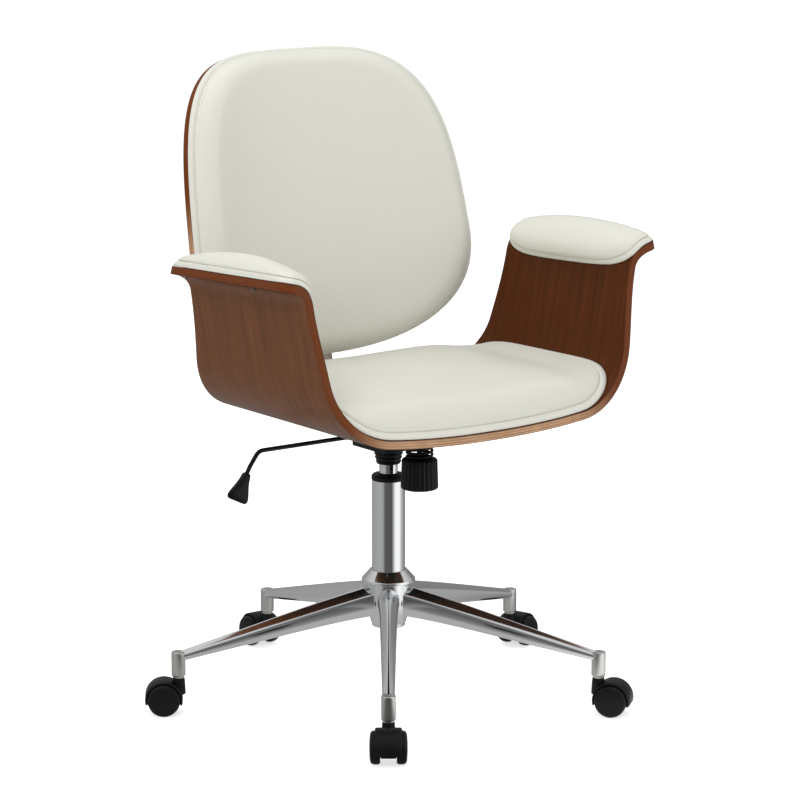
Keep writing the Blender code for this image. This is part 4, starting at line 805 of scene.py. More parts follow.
def copies_tree(name, shape):
    """Makes a tree that sets a small shape on each point, standing along the point's facing."""
    tree = bpy.data.node_groups.new(name, "GeometryNodeTree")
    tree.is_modifier = True
    sockets = {}
    for label, kind in (("Points", "NodeSocketGeometry"), ("Radius", "NodeSocketFloat"),
                        ("Height", "NodeSocketFloat"), ("Finish", "NodeSocketMaterial")):
        sockets[label] = tree.interface.new_socket(name=label, in_out="INPUT", socket_type=kind)
    tree.interface.new_socket(name="Copies", in_out="OUTPUT", socket_type="NodeSocketGeometry")
    source = node(tree, "NodeGroupInput", (-800, 0)).outputs
    facing = node(tree, "GeometryNodeInputNamedAttribute", (-500, -300), {"Name": "facing"},
                  data_type="FLOAT_VECTOR")
    stand_up = node(tree, "FunctionNodeAlignRotationToVector", (-250, -300),
                    {"Vector": facing.outputs["Attribute"]}, axis="Z")
    place = node(tree, "GeometryNodeInstanceOnPoints", (200, 0), {
        "Points": source["Points"], "Instance": shape(tree, source),
        "Rotation": stand_up.outputs["Rotation"]})
    real = node(tree, "GeometryNodeRealizeInstances", (450, 0), {"Geometry": place.outputs["Instances"]})
    finish = node(tree, "GeometryNodeSetMaterial", (680, 0), {
        "Geometry": real.outputs["Geometry"], "Material": source["Finish"]})
    node(tree, "NodeGroupOutput", (900, 0), {"Copies": finish.outputs["Geometry"]})
    return tree, sockets


def bolt_head(tree, source):
    """Adds a flanged hexagon head: a thin washer with a six sided head on it."""
    thin = worked(tree, (-650, 350), "MULTIPLY", source["Height"], 0.35)
    narrow = worked(tree, (-650, 200), "MULTIPLY", source["Radius"], 0.74)
    half = worked(tree, (-650, -80), "MULTIPLY", source["Height"], 0.5)
    flange = node(tree, "GeometryNodeMeshCylinder", (-500, 300), {
        "Vertices": 32, "Radius": source["Radius"], "Depth": thin})
    hexagon = node(tree, "GeometryNodeMeshCylinder", (-500, 100), {
        "Vertices": 6, "Radius": narrow, "Depth": source["Height"]})
    lift = node(tree, "ShaderNodeCombineXYZ", (-450, -80), {"Z": half})
    raised = node(tree, "GeometryNodeTransform", (-250, 100), {
        "Geometry": hexagon.outputs["Mesh"], "Translation": lift.outputs["Vector"]})
    both = node(tree, "GeometryNodeJoinGeometry", (-50, 200))
    for part in (flange.outputs["Mesh"], raised.outputs["Geometry"]):
        tree.links.new(part, both.inputs["Geometry"])
    return both.outputs["Geometry"]


def stitch_body(tree, source):
    """Adds one stitch: a short round thread with six sides."""
    thread = node(tree, "GeometryNodeMeshCylinder", (-400, 200), {
        "Vertices": 6, "Radius": source["Radius"], "Depth": source["Height"]})
    return thread.outputs["Mesh"]


def copies(name, places, radius, height, finish, shape):
    """Sets one shape on each (place, facing) and gives the result as a plain mesh."""
    points = bpy.data.meshes.new(name)
    points.from_pydata([tuple(place) for place, facing in places], [], [])
    facing = points.attributes.new("facing", "FLOAT_VECTOR", "POINT")
    facing.data.foreach_set("vector", [value for place, way in places for value in way])
    rough = linked(name, points)
    tree, sockets = copies_tree(name + "_tree", shape)
    layout = rough.modifiers.new("copies", "NODES")
    layout.node_group = tree
    layout[sockets["Radius"].identifier] = radius
    layout[sockets["Height"].identifier] = height
    layout[sockets["Finish"].identifier] = finish
    return settle(rough)


# The two bent sheets

RUNS = (
    (FLOOR_HALF_WIDTH, 0.0, FLOOR_RISE_DEG),
    (CORNER_RADIUS * math.radians(ARM_WALL_DEG - FLOOR_RISE_DEG), FLOOR_RISE_DEG, ARM_WALL_DEG),
    (ARM_WALL_LENGTH, ARM_WALL_DEG, ARM_WALL_DEG),
    (CURL_RADIUS * math.radians(ARM_WALL_DEG - LIP_DEG), ARM_WALL_DEG, LIP_DEG),
    (LIP_LENGTH, LIP_DEG, LIP_DEG),
)
STATIONS = [sum(run[0] for run in RUNS[:i]) for i in range(len(RUNS) + 1)]
SECTION_LENGTH = STATIONS[-1]
EDGE_STATIONS = (STATIONS[0], STATIONS[1], STATIONS[2], STATIONS[3], STATIONS[5])


def section_point(along):
    """Gives x, z and heading of the seat's under face at a distance from its middle."""
    x = 0.0
    z = SEAT_UNDER_Z
    left = abs(along)
    heading = 0.0
    for length, start, end in RUNS:
        step = min(left, length)
        start_angle = math.radians(start)
        bend = math.radians(end - start) / length
        heading = start_angle + bend * step
        if abs(bend) < 1e-9:
            x += step * math.cos(start_angle)
            z += step * math.sin(start_angle)
        else:
            x += (math.sin(heading) - math.sin(start_angle)) / bend
            z += (math.cos(start_angle) - math.cos(heading)) / bend
        left -= step
        if left <= 0.0:
            break
    return x, z, heading


def seat_point(along, y, rise):
    """Gives the point a distance above the seat's under face, y counted from the column."""
    x, z, heading = section_point(along)
    side = math.copysign(1.0, along)
    x -= rise * math.sin(heading)
    z += rise * math.cos(heading)
    share = min(max((abs(along) - STATIONS[1]) / (STATIONS[3] - STATIONS[1]), 0.0), 1.0)
    z -= ARM_SLOPE * (y + FRONT_AT[4] / 2) * share * share * (3 - 2 * share)
    return Vector((side * x, y, z)) + COLUMN


def through(values, place_at):
    """Runs a smooth curve through the values at the edge stations, level at the middle."""
    slopes = [0.0]
    for i in range(1, len(values) - 1):
        slopes.append((values[i + 1] - values[i - 1]) / (EDGE_STATIONS[i + 1] - EDGE_STATIONS[i - 1]))
    slopes.append((values[-1] - values[-2]) / (EDGE_STATIONS[-1] - EDGE_STATIONS[-2]))
    i = max(k for k in range(len(values) - 1) if place_at >= EDGE_STATIONS[k] - 1e-9)
    span = EDGE_STATIONS[i + 1] - EDGE_STATIONS[i]
    t = min(max((place_at - EDGE_STATIONS[i]) / span, 0.0), 1.0)
    return ((2 * t ** 3 - 3 * t ** 2 + 1) * values[i] + (t ** 3 - 2 * t ** 2 + t) * span * slopes[i]
            + (3 * t ** 2 - 2 * t ** 3) * values[i + 1] + (t ** 3 - t ** 2) * span * slopes[i + 1])


def shell_reach(along):
    """Gives how far the seat sheet reaches to the front and to the rear of the column."""
    place_at = abs(along)
    front = through(FRONT_AT, place_at)
    rear = through(REAR_AT, place_at)
    into_corner = place_at - (SECTION_LENGTH - LIP_CORNER_RADIUS)
    if into_corner > 0.0:
        lost = LIP_CORNER_RADIUS - math.sqrt(max(LIP_CORNER_RADIUS ** 2 - into_corner ** 2, 0.0))
        front -= lost
        rear -= lost
    return front, rear


def back_axes():
    """Gives the back's upward and forward directions."""
    lean = math.radians(BACK_RECLINE_DEG)
    return Vector((0.0, math.sin(lean), math.cos(lean))), Vector((0.0, -math.cos(lean), math.sin(lean)))


def back_point(x, height, rise):
    """Gives the point a distance in front of the back's rear face, by arc length and height."""
    up, ahead = back_axes()
    radius = BACK_PLAN_RADIUS - rise
    turn = x / BACK_PLAN_RADIUS
    return (BACK_FOOT + up * height + Vector((radius * math.sin(turn), 0.0, 0.0))
            + ahead * (BACK_PLAN_RADIUS - radius * math.cos(turn)))


def back_outline(angle, inset):
    """Gives the back's outline at an angle round its widest line's middle."""
    upper = math.sin(angle) >= 0.0
    squareness = BACK_UPPER_SQUARENESS if upper else BACK_LOWER_SQUARENESS
    tall = BACK_UPPER_HEIGHT if upper else BACK_LOWER_HEIGHT
    up = (tall - inset) * signed_power(math.sin(angle), 2 / squareness)
    taper = 1 - BACK_TAPER * max(up, 0.0) / BACK_UPPER_HEIGHT
    across = (BACK_HALF_WIDTH * taper - inset) * signed_power(math.cos(angle), 2 / squareness)
    return across, up


def spread_angles(outline_at, count, across_weight=1.0):
    """Gives angles for evenly spaced points on an outline, closer where it runs across a bend."""
    samples = 1440
    fine = [2 * math.pi * i / samples for i in range(samples + 1)]
    points = []
    for angle in fine:
        across, up = outline_at(angle, 0.0)
        points.append(Vector((across * across_weight, up)))
    run = [0.0]
    for before, after in zip(points, points[1:]):
        run.append(run[-1] + (after - before).length)
    angles = []
    k = 0
    for i in range(count):
        wanted = run[-1] * i / count
        while run[k + 1] < wanted:
            k += 1
        share = (wanted - run[k]) / (run[k + 1] - run[k])
        angles.append(fine[k] + share * (fine[k + 1] - fine[k]))
    return angles


def write_sheet_map(mesh, grain_at):
    """Writes the sheet's UV map and its depth, from what grain_at gives for each point."""
    found = [grain_at(vertex.co) for vertex in mesh.vertices]
    layer = mesh.uv_layers.new(name="sheet")
    for loop in mesh.loops:
        layer.data[loop.index].uv = found[loop.vertex_index][:2]
    depths = mesh.attributes.new("depth", "FLOAT", "POINT")
    depths.data.foreach_set("value", [min(max(depth, 0.0), 1.0) for across, along, depth in found])


def veneer(name, vertices, faces, kinds, grain_at, node_name):
    """Rounds a bent sheet's cut edges, lays its grain and fastens it to the seat."""
    finishes = (walnut_outer(), walnut_inner(), ply_edge())
    mesh = mesh_of(name, vertices, faces)
    mesh.polygons.foreach_set("material_index", kinds)
    for finish in finishes:
        mesh.materials.append(finish)
    mesh = rounded_edges(outward(mesh), sizes().edge_rounding, 55)
    write_sheet_map(mesh, grain_at)
    kinds = [polygon.material_index for polygon in mesh.polygons]
    obj = new_piece(name, mesh, *finishes)
    mesh.polygons.foreach_set("material_index", kinds)
    dress(obj, "seat", "walnut_veneer", node_name)


def seat_columns():
    """Gives the distances from the middle at which the seat sheet has its columns."""
    corner_start = SECTION_LENGTH - LIP_CORNER_RADIUS
    plain = 110
    corner = 18
    half = [corner_start * i / plain for i in range(plain)]
    half += [corner_start + LIP_CORNER_RADIUS * math.sin(math.pi / 2 * i / corner)
             for i in range(corner + 1)]
    return [-a for a in reversed(half[1:])] + half


def build_seat_shell():
    """Bends the plywood seat with its arms, rounds its edges and lays its grain."""
    columns = seat_columns()
    rows = 44
    vertices = []
    for rise in (0.0, PLY):
        for along in columns:
            front, rear = shell_reach(along)
            for row in range(rows + 1):
                vertices.append(seat_point(along, -front + (front + rear) * row / rows, rise))
    level = len(columns) * (rows + 1)
    faces = []
    kinds = []
    for c in range(len(columns) - 1):
        for row in range(rows):
            a = c * (rows + 1) + row
            b = a + rows + 1
            faces += [(a, a + 1, b + 1, b), (level + a, level + b, level + b + 1, level + a + 1)]
            kinds += [OUTER, INNER]
        for row in (0, rows):
            a = c * (rows + 1) + row
            b = a + rows + 1
            faces.append((a, b, level + b, level + a))
            kinds.append(CUT_EDGE)
    for c in (0, len(columns) - 1):
        for row in range(rows):
            a = c * (rows + 1) + row
            faces.append((a, a + 1, level + a + 1, level + a))
            kinds.append(CUT_EDGE)

    nearest = KDTree(level)
    for i in range(level):
        nearest.insert(vertices[i], i)
    nearest.balance()

    def grain_at(point):
        close, number, distance = nearest.find(point)
        along = columns[number // (rows + 1)]
        heading = section_point(along)[2]
        side = math.copysign(1.0, along)
        ahead = Vector((side * math.cos(heading), 0.0, math.sin(heading)))
        above = Vector((-side * math.sin(heading), 0.0, math.cos(heading)))
        offset = point - close
        return point.y, along + side * offset.dot(ahead), offset.dot(above) / PLY

    veneer("seat_shell_veneered", vertices, faces, kinds, grain_at, "seat_shell")


def build_back_shell():
    """Bends the plywood back, rounds its edge and lays its grain."""
    count = 192
    rings = 14
    angles = spread_angles(back_outline, count)
    vertices = []
    for rise in (0.0, PLY):
        for ring in range(rings):
            share = math.sin(math.pi / 2 * (1 - ring / rings))
            for angle in angles:
                across, up = back_outline(angle, 0.0)
                vertices.append(back_point(across * share, BACK_LOWER_HEIGHT + up * share, rise))
        vertices.append(back_point(0.0, BACK_LOWER_HEIGHT, rise))
    level = rings * count + 1
    faces = []
    kinds = []
    for side in (OUTER, INNER):
        start = side * level
        for ring in range(rings - 1):
            for i in range(count):
                j = (i + 1) % count
                a = start + ring * count
                faces.append((a + i, a + j, a + count + j, a + count + i))
                kinds.append(side)
        last = start + (rings - 1) * count
        for i in range(count):
            faces.append((last + i, last + (i + 1) % count, start + level - 1))
            kinds.append(side)
    for i in range(count):
        j = (i + 1) % count
        faces.append((i, j, level + j, level + i))
        kinds.append(CUT_EDGE)
    up, ahead = back_axes()

    def grain_at(point):
        offset = point - BACK_FOOT
        to_centre = BACK_PLAN_RADIUS - offset.dot(ahead)
        turn = math.atan2(offset.x, to_centre)
        radius = math.hypot(offset.x, to_centre)
        return (turn * BACK_PLAN_RADIUS + BACK_GRAIN_OFFSET, offset.dot(up),
                (BACK_PLAN_RADIUS - radius) / PLY)

    veneer("back_shell_veneered", vertices, faces, kinds, grain_at, "back_shell")


# Padding


def faded_rise(rise, side, fade):
    """Lowers the part of a cushion's rise that lies above its side."""
    seam = PLY + CUSHION_BED + side
    return min(rise, seam) + max(rise - seam, 0.0) * fade


def standing_side(side):
    """Gives the rings of a side that stands on its bed, bulges a little and leans inwards to its seam."""
    return [(-0.0006, -0.0007, 1.0, "foot"), (-0.0014, 0.0002, 1.0, "foot"),
            (-0.0016, side * 0.20, 1.0, "side"), (-0.0009, side * 0.45, 1.0, "side"),
            (0.0006, side * 0.70, 1.0, "side"), (0.0021, side * 0.90, 1.0, "side"),
            (0.0032 + sizes().seam_depth, side, 1.0, "seam"), (0.0030, side * 1.10, 1.0, "top")]


def wrapped_side():
    """Gives the rings of a side that is drawn over the front corner of the sheet it lies on."""
    edge = -BACK_CUSHION_INSET
    lap = 0.0040
    return [(edge + 0.0012, -0.0007, 1.0, "foot"), (edge - 0.0002, -0.0004, 1.0, "foot"),
            (edge - 0.0003, -lap, 1.0, "foot"), (edge - 0.0010, -lap - 0.0004, 1.0, "foot"),
            (edge - 0.0018, -lap + 0.0006, 1.0, "side"), (edge - 0.0020, -0.0010, 1.0, "side"),
            (edge - 0.0014, 0.0014, 1.0, "side"), (edge - 0.0001, 0.0034, 1.0, "side"),
            (edge + 0.0016 + sizes().seam_depth, 0.0046, 1.0, "seam"), (edge + 0.0020, 0.0062, 1.0, "top")]


def padding_rings(sides, side, crown, shoulder):
    """Gives a cushion's rings as (inset, rise above the bed, share of the outline, kind)."""
    rings = list(sides)
    steps = 9
    first, start = rings[-1][:2]
    for k in range(1, steps + 1):
        turn = math.pi / 2 * k / steps
        rings.append((first + (shoulder - first) * (1 - math.cos(turn)),
                      start + (side + 0.82 * crown - start) * math.sin(turn), 1.0, "top"))
    inner = 9
    for k in range(1, inner):
        share = 1 - k / inner
        rings.append((shoulder, side + crown * (1 - 0.18 * share * share), share, "top"))
    return rings


def padding_mesh(name, outline_at, surface_at, rings, angles):
    """Makes a cushion's mesh ring by ring, with its underside, and gives it."""
    bed = PLY + CUSHION_BED
    count = len(angles)
    vertices = []
    faces = []
    for inset, rise, share, kind in rings:
        for angle in angles:
            across, up = outline_at(angle, inset)
            vertices.append(surface_at(across * share, up * share, bed + rise))
    vertices.append(surface_at(0.0, 0.0, bed + rings[-1][1]))
    top = len(vertices) - 1
    under = 8
    below = [0]
    for ring in range(1, under):
        share = 1 - ring / under
        below.append(len(vertices))
        for angle in angles:
            across, up = outline_at(angle, rings[0][0])
            vertices.append(surface_at(across * share, up * share, bed))
    vertices.append(surface_at(0.0, 0.0, bed))
    bottom = len(vertices) - 1
    for row in range(len(rings) - 1):
        for i in range(count):
            j = (i + 1) % count
            faces.append((row * count + i, row * count + j, (row + 1) * count + j, (row + 1) * count + i))
    last = (len(rings) - 1) * count
    for i in range(count):
        j = (i + 1) % count
        faces.append((last + i, last + j, top))
        for outer, inner in zip(below, below[1:]):
            faces.append((outer + j, outer + i, inner + i, inner + j))
        faces.append((below[-1] + j, below[-1] + i, bottom))
    return outward(mesh_of(name, vertices, faces))


def swollen(mesh, pressure, cap):
    """Swells a remeshed copy of a cushion as cloth under pressure and gives its surface."""
    rough = linked("swelling", mesh.copy())
    remesh = rough.modifiers.new("even", "REMESH")
    remesh.mode = "VOXEL"
    remesh.voxel_size = 0.0070
    even = settle(rough)
    start = [vertex.co.copy() for vertex in even.vertices]
    rough = linked("swelling", even)
    cloth = rough.modifiers.new("cover", "CLOTH")
    cloth.settings.use_pressure = True
    cloth.settings.uniform_pressure_force = pressure
    cloth.settings.effector_weights.gravity = 0.0
    cloth.settings.tension_stiffness = 15.0
    cloth.settings.bending_stiffness = 0.5
    cloth.point_cache.frame_start = 1
    cloth.point_cache.frame_end = 20
    scene = bpy.context.scene
    for number in range(1, 21):
        scene.frame_set(number)
    made = settle(rough)
    scene.frame_set(1)
    for vertex, before in zip(made.vertices, start):
        move = vertex.co - before
        if move.length > cap:
            vertex.co = before + move.normalized() * cap
    return BVHTree.FromPolygons([v.co for v in made.vertices], [p.vertices for p in made.polygons])


def follow_swelling(mesh, surface, reach, count, rings):
    """Moves a cushion's top rings out to the swollen surface, less and less towards the seam."""
    normals = [vertex.normal.copy() for vertex in mesh.vertices]
    still = 1 + next(i for i, ring in enumerate(rings) if ring[3] == "seam")
    numbers = range(still * count, len(rings) * count + 1)
    moves = {}
    for number in numbers:
        place = mesh.vertices[number].co
        way = normals[number]
        hit = surface.ray_cast(place - way * reach, way, 2.5 * reach)
        moves[number] = max(min(hit[3] - reach, reach), -0.5 * reach) if hit[0] is not None else 0.0
    eased = dict(moves)
    for number in numbers:
        ring, k = divmod(number, count)
        if ring >= len(rings):
            continue
        around = [moves.get(ring * count + (k + step) % count, 0.0) for step in range(-4, 5)]
        eased[number] = sum(around) / len(around)
    fade_rings = 7
    for number in numbers:
        share = min((number // count - still + 0.5) / fade_rings, 1.0)
        mesh.vertices[number].co += normals[number] * eased[number] * share
    mesh.update()


def make_cushion(name, outline_at, surface_at, rings, angles, node_name):
    """Makes one cushion: swollen cover, sewn groove, then its stitches."""
    count = len(angles)
    mesh = padding_mesh(name, outline_at, surface_at, rings, angles)
    surface = swollen(mesh, COVER_PRESSURE, sizes().swell)
    follow_swelling(mesh, surface, SWELL_SEARCH, count, rings)
    seam = next(i for i, ring in enumerate(rings) if ring[3] == "seam")
    normals = [vertex.normal.copy() for vertex in mesh.vertices]
    first = (seam + STITCH_RINGS_ABOVE) * count
    stitches = [(mesh.vertices[k].co.copy(), normals[k]) for k in range(first, first + count)]
    creases = mesh.attributes.new("crease_edge", "FLOAT", "EDGE")
    for edge in mesh.edges:
        if all(seam * count <= end < (seam + 1) * count for end in edge.vertices):
            creases.data[edge.index].value = SEAM_CREASE
    obj = new_piece(name, subdivided(mesh), cream_cover())
    dress(obj, "seat", "cream_leather", node_name)
    sew(name + "_stitches", stitches)


def sew(name, loop):
    """Lays stitches at an even spacing along a closed loop of (place, normal)."""
    spacing = sizes().stitch_gap
    places = []
    due = 0.0
    for i, (here, normal) in enumerate(loop):
        there = loop[(i + 1) % len(loop)][0]
        way = there - here
        length = way.length
        while due < length:
            places.append((here + way * (due / length) + normal * 0.0001, way.normalized()))
            due += spacing
        due -= length
    mesh = copies(name, places, STITCH_RADIUS, sizes().stitch_length, cream_thread(), stitch_body)
    fit(name, mesh, cream_thread(), "seat", "cream_leather")


def build_seat_cushion():
    """Makes the seat cushion that lies in the bent seat."""
    front, rear = shell_reach(0.0)
    half_y = (rear + front) / 2
    power = 2 / SEAT_CUSHION_SQUARENESS

    def outline_at(angle, inset):
        edge = SEAT_CUSHION_REAR_INSET if math.sin(angle) > 0.0 else SEAT_CUSHION_FRONT_INSET
        across = (SEAT_CUSHION_HALF_WIDTH - inset) * signed_power(math.cos(angle), power)
        along = (half_y - edge - inset) * signed_power(math.sin(angle), power)
        return across, along

    def surface_at(across, along, rise):
        here_front, here_rear = shell_reach(across)
        middle = (here_rear - here_front) / 2
        scale = (here_rear + here_front) / (rear + front)
        fade = 1 - SEAT_CUSHION_FADE * (across / SEAT_CUSHION_HALF_WIDTH) ** 4
        return seat_point(across, middle + along * scale, faded_rise(rise, SEAT_CUSHION_SIDE, fade))

    rings = padding_rings(standing_side(SEAT_CUSHION_SIDE), SEAT_CUSHION_SIDE, SEAT_CUSHION_CROWN,
                          SEAT_CUSHION_SHOULDER)
    make_cushion("seat_cushion_cover", outline_at, surface_at, rings, spread_angles(outline_at, 220, 1.3),
                 "seat_cushion")


def build_back_cushion():
    """Makes the back cushion."""

    def outline_at(angle, inset):
        return back_outline(angle, BACK_CUSHION_INSET + inset)

    def surface_at(across, up, rise):
        return back_point(across, BACK_LOWER_HEIGHT + up, rise)

    rings = padding_rings(wrapped_side(), BACK_CUSHION_SIDE, BACK_CUSHION_CROWN, BACK_CUSHION_SHOULDER)
    make_cushion("back_cushion_cover", outline_at, surface_at, rings, spread_angles(outline_at, 200),
                 "back_cushion")


def build_arm_pads():
    """Makes the two arm pads on the curled arm tops."""
    pad_middle = SECTION_LENGTH + PAD_OVERHANG - PAD_REACH_DOWN / 2
    front, rear = shell_reach(SECTION_LENGTH - LIP_CORNER_RADIUS)
    half = (front + rear - PAD_FRONT_INSET - PAD_REAR_INSET) / 2
    middle = (rear - PAD_REAR_INSET - front + PAD_FRONT_INSET) / 2
    rings = padding_rings(standing_side(PAD_SIDE), PAD_SIDE, PAD_CROWN, PAD_SHOULDER)

    def outline_at(angle, inset):
        squareness = PAD_OUTER_SQUARENESS if math.cos(angle) > 0.0 else PAD_INNER_SQUARENESS
        across = (PAD_REACH_DOWN / 2 - inset) * signed_power(math.cos(angle), 2 / squareness)
        along = (half - inset) * signed_power(math.sin(angle), 2 / squareness)
        return across, along

    for name, sign in (("arm_pad_right", 1.0), ("arm_pad_left", -1.0)):

        def surface_at(across, along, rise):
            lean = 1 - PAD_LEAN * across / (PAD_REACH_DOWN / 2)
            fade = (1 - PAD_END_FADE * (along / half) ** 2) * lean
            return seat_point(sign * (pad_middle + across), middle + along,
                              faded_rise(rise, PAD_SIDE, fade))

        make_cushion(name + "_cover", outline_at, surface_at, rings, spread_angles(outline_at, 160, 3.0),
                     name)


# Base and casters


def leg_section(reach, top, tall, wide, crest):
    """Gives a leg's section at a distance from the column: two flat slopes over full sides."""
    half = wide / 2
    corners = [
        (0.0, 0.0, crest), (half, -0.30 * tall, 0.0050), (0.96 * half, -0.76 * tall, 0.0090),
        (0.50 * half, -tall, 0.0060), (-0.50 * half, -tall, 0.0060), (-0.96 * half, -0.76 * tall, 0.0090),
        (-half, -0.30 * tall, 0.0050),
    ]
    return [Vector((reach, side, top + drop)) for side, drop in softened(corners, 6)]


def build_base():
    """Makes the chromed hub and the five tapering legs with their sockets."""
    hub_low = low_corner("base_hub").z
    hub_high = high_corner("base_hub").z
    radius = 0.0330
    lip_radius = half_width_of("base_hub", 0)
    lip_low = hub_high - 0.0180
    bore = half_width_of("column_tube", 0) + 0.0003
    hub = turned("hub", [
        (bore, hub_high), (bore + 0.0022, hub_high, 0.0008), (lip_radius, lip_low + 0.0035, 0.0022),
        (lip_radius, lip_low, 0.0010), (radius, lip_low, 0.0006), (radius, hub_low + 0.0300, 0.0120),
        (bore + 0.0012, hub_low + 0.0020, 0.0010), (bore, hub_low + 0.0020),
    ], 128, closed=True, steps=6)
    stand("base_hub_polished", hub, chrome(), "base", "polished_chrome", "base_hub")

    stem_circle = (centre_of("caster_stem_4") - COLUMN)
    stem_circle = math.hypot(stem_circle.x, stem_circle.y)
    tip_top = 0.0940
    root_top = 0.1760
    root = radius - 0.0060
    tip = stem_circle + 0.0020
    steps = 20
    rings = []
    for i in range(steps + 1):
        t = i / steps
        flare = 0.0045 * (1 - t) ** 6
        rings.append(leg_section(between(root, tip, t), between(root_top, tip_top, t) + flare * 0.2,
                                 between(0.0480, 0.0150, t) + flare,
                                 between(0.0280, 0.0180, t) + flare * 1.4,
                                 0.0025 + 0.0120 * (1 - t) ** 5))
    beam = lofted("beam", rings)
    socket_top = tip_top + 0.0006
    socket_low = 0.0580
    socket_radius = 0.0105
    socket = turned("socket", [
        (0.0, socket_top), (socket_radius, socket_top, 0.0030), (socket_radius, socket_low, 0.0016),
        (0.0, socket_low),
    ], 64, steps=6)
    socket = shifted(socket, (stem_circle, 0.0, 0.0))
    for number in range(1, 6):
        turn = Matrix.Rotation(math.radians(-126 + 72 * (number - 1)), 3, "Z")
        fit("leg_%d_polished" % number, shifted(beam, COLUMN, turn), chrome(),
            "base", "polished_chrome", "leg_%d" % number)
        fit("leg_%d_socket" % number, shifted(socket, COLUMN, turn), satin_nickel(),
            "base", "polished_chrome")


def caster_meshes():
    """Makes one caster's hood, wheel, axle and stem, trailing towards +X from its stem."""
    trail = 0.0220
    axle_z = 0.0240
    hood_radius = 0.0280
    wall = 0.0025
    half = 0.01925
    web = 0.0108
    start = math.radians(-14)
    end = math.radians(196)
    steps = 72
    strip = []
    for i in range(steps + 1):
        angle = start + (end - start) * i / steps
        way = Vector((math.cos(angle), 0.0, math.sin(angle)))
        inner = hood_radius - wall
        section = [(-half, inner), (-half, hood_radius - 0.0022), (-half + 0.0006, hood_radius - 0.0010),
                   (-half + 0.0020, hood_radius), (half - 0.0020, hood_radius),
                   (half - 0.0006, hood_radius - 0.0010), (half, hood_radius - 0.0022), (half, inner)]
        strip.append([Vector((trail, y, axle_z)) + way * r for y, r in section])
    shell = lofted("shell", strip)
    reach = hood_radius - wall + 0.0003
    low = math.asin((axle_z - 0.0145) / reach)
    outline = []
    for i in range(65):
        angle = -low + (math.pi + 2 * low) * i / 64
        outline.append((trail + reach * math.cos(angle), axle_z + reach * math.sin(angle)))
    disc = extruded("disc", outline, -web, web, "Y", 0.0006)
    boss = turned("boss", [
        (0.0059, 0.0544), (0.0090, 0.0544, 0.0010), (0.0098, 0.0440, 0.0010), (0.0104, 0.0300, 0.0010),
        (0.0059, 0.0300),
    ], 64, closed=True)
    hood = joined("hood", [shell, disc, boss])

    near = 0.01165
    far = 0.02725
    wheel = turned("wheel", [
        (0.0043, far - 0.0028), (0.0043, near), (0.0220, near, 0.0006), (0.0240, near + 0.0022, 0.0016),
        (0.0240, far - 0.0060, 0.0040), (0.0222, far - 0.0022, 0.0016), (0.0206, far - 0.0019, 0.0006),
        (0.0196, far - 0.0012, 0.0006), (0.0150, far - 0.0006, 0.0040), (0.0080, far - 0.0001, 0.0040),
        (0.0, far), (0.0, far - 0.0028), (0.0043, far - 0.0028),
    ], 96, steps=5)
    axle = turned("axle", [
        (0.0, far - 0.0030), (0.0040, far - 0.0030, 0.0008), (0.0040, -far + 0.0030, 0.0008),
        (0.0, -far + 0.0030),
    ], 48)
    stem = turned("stem", [
        (0.0, 0.0800), (0.0045, 0.0800), (0.0055, 0.0788), (0.0055, 0.0577), (0.0085, 0.0577, 0.0006),
        (0.0085, 0.0547, 0.0006), (0.0055, 0.0547), (0.0055, 0.0436), (0.0, 0.0436),
    ], 48)
    return hood, wheel, axle, stem


def build_casters():
    """Places the five twin wheel casters as their joints stand at rest."""
    hood, wheel, axle, stem = caster_meshes()
    on_side = Matrix.Rotation(-math.pi / 2, 3, "X")
    other_side = Matrix.Rotation(math.pi / 2, 3, "X")
    for number in range(1, 6):
        pivot = Vector(joint_named("caster_%d_swivel" % number)["pos_m"])
        centre = Vector(joint_named("wheel_%d_left_spin" % number)["pos_m"])
        turn = Matrix.Rotation(math.atan2(centre.y - pivot.y, centre.x - pivot.x), 3, "Z")
        foot = Vector((pivot.x, pivot.y, 0.0))
        body = "caster_%d" % number
        fit("caster_hood_%d_moulded" % number, shifted(hood, foot, turn), black_plastic(),
            body, "black_plastic", "caster_hood_%d" % number)
        fit("caster_axle_%d_turned" % number, shifted(axle, centre, turn @ on_side), zinc(),
            body, "plain_steel", "caster_axle_%d" % number)
        fit("caster_stem_%d_turned" % number, shifted(stem, foot, turn), zinc(),
            "base", "plain_steel", "caster_stem_%d" % number)
        for side, lay in (("left", on_side), ("right", other_side)):
            name = "caster_wheel_%d_%s" % (number, side)
            fit(name + "_moulded", shifted(wheel, centre, turn @ lay), black_plastic(),
                "wheel_%d_%s" % (number, side), "black_plastic", name)


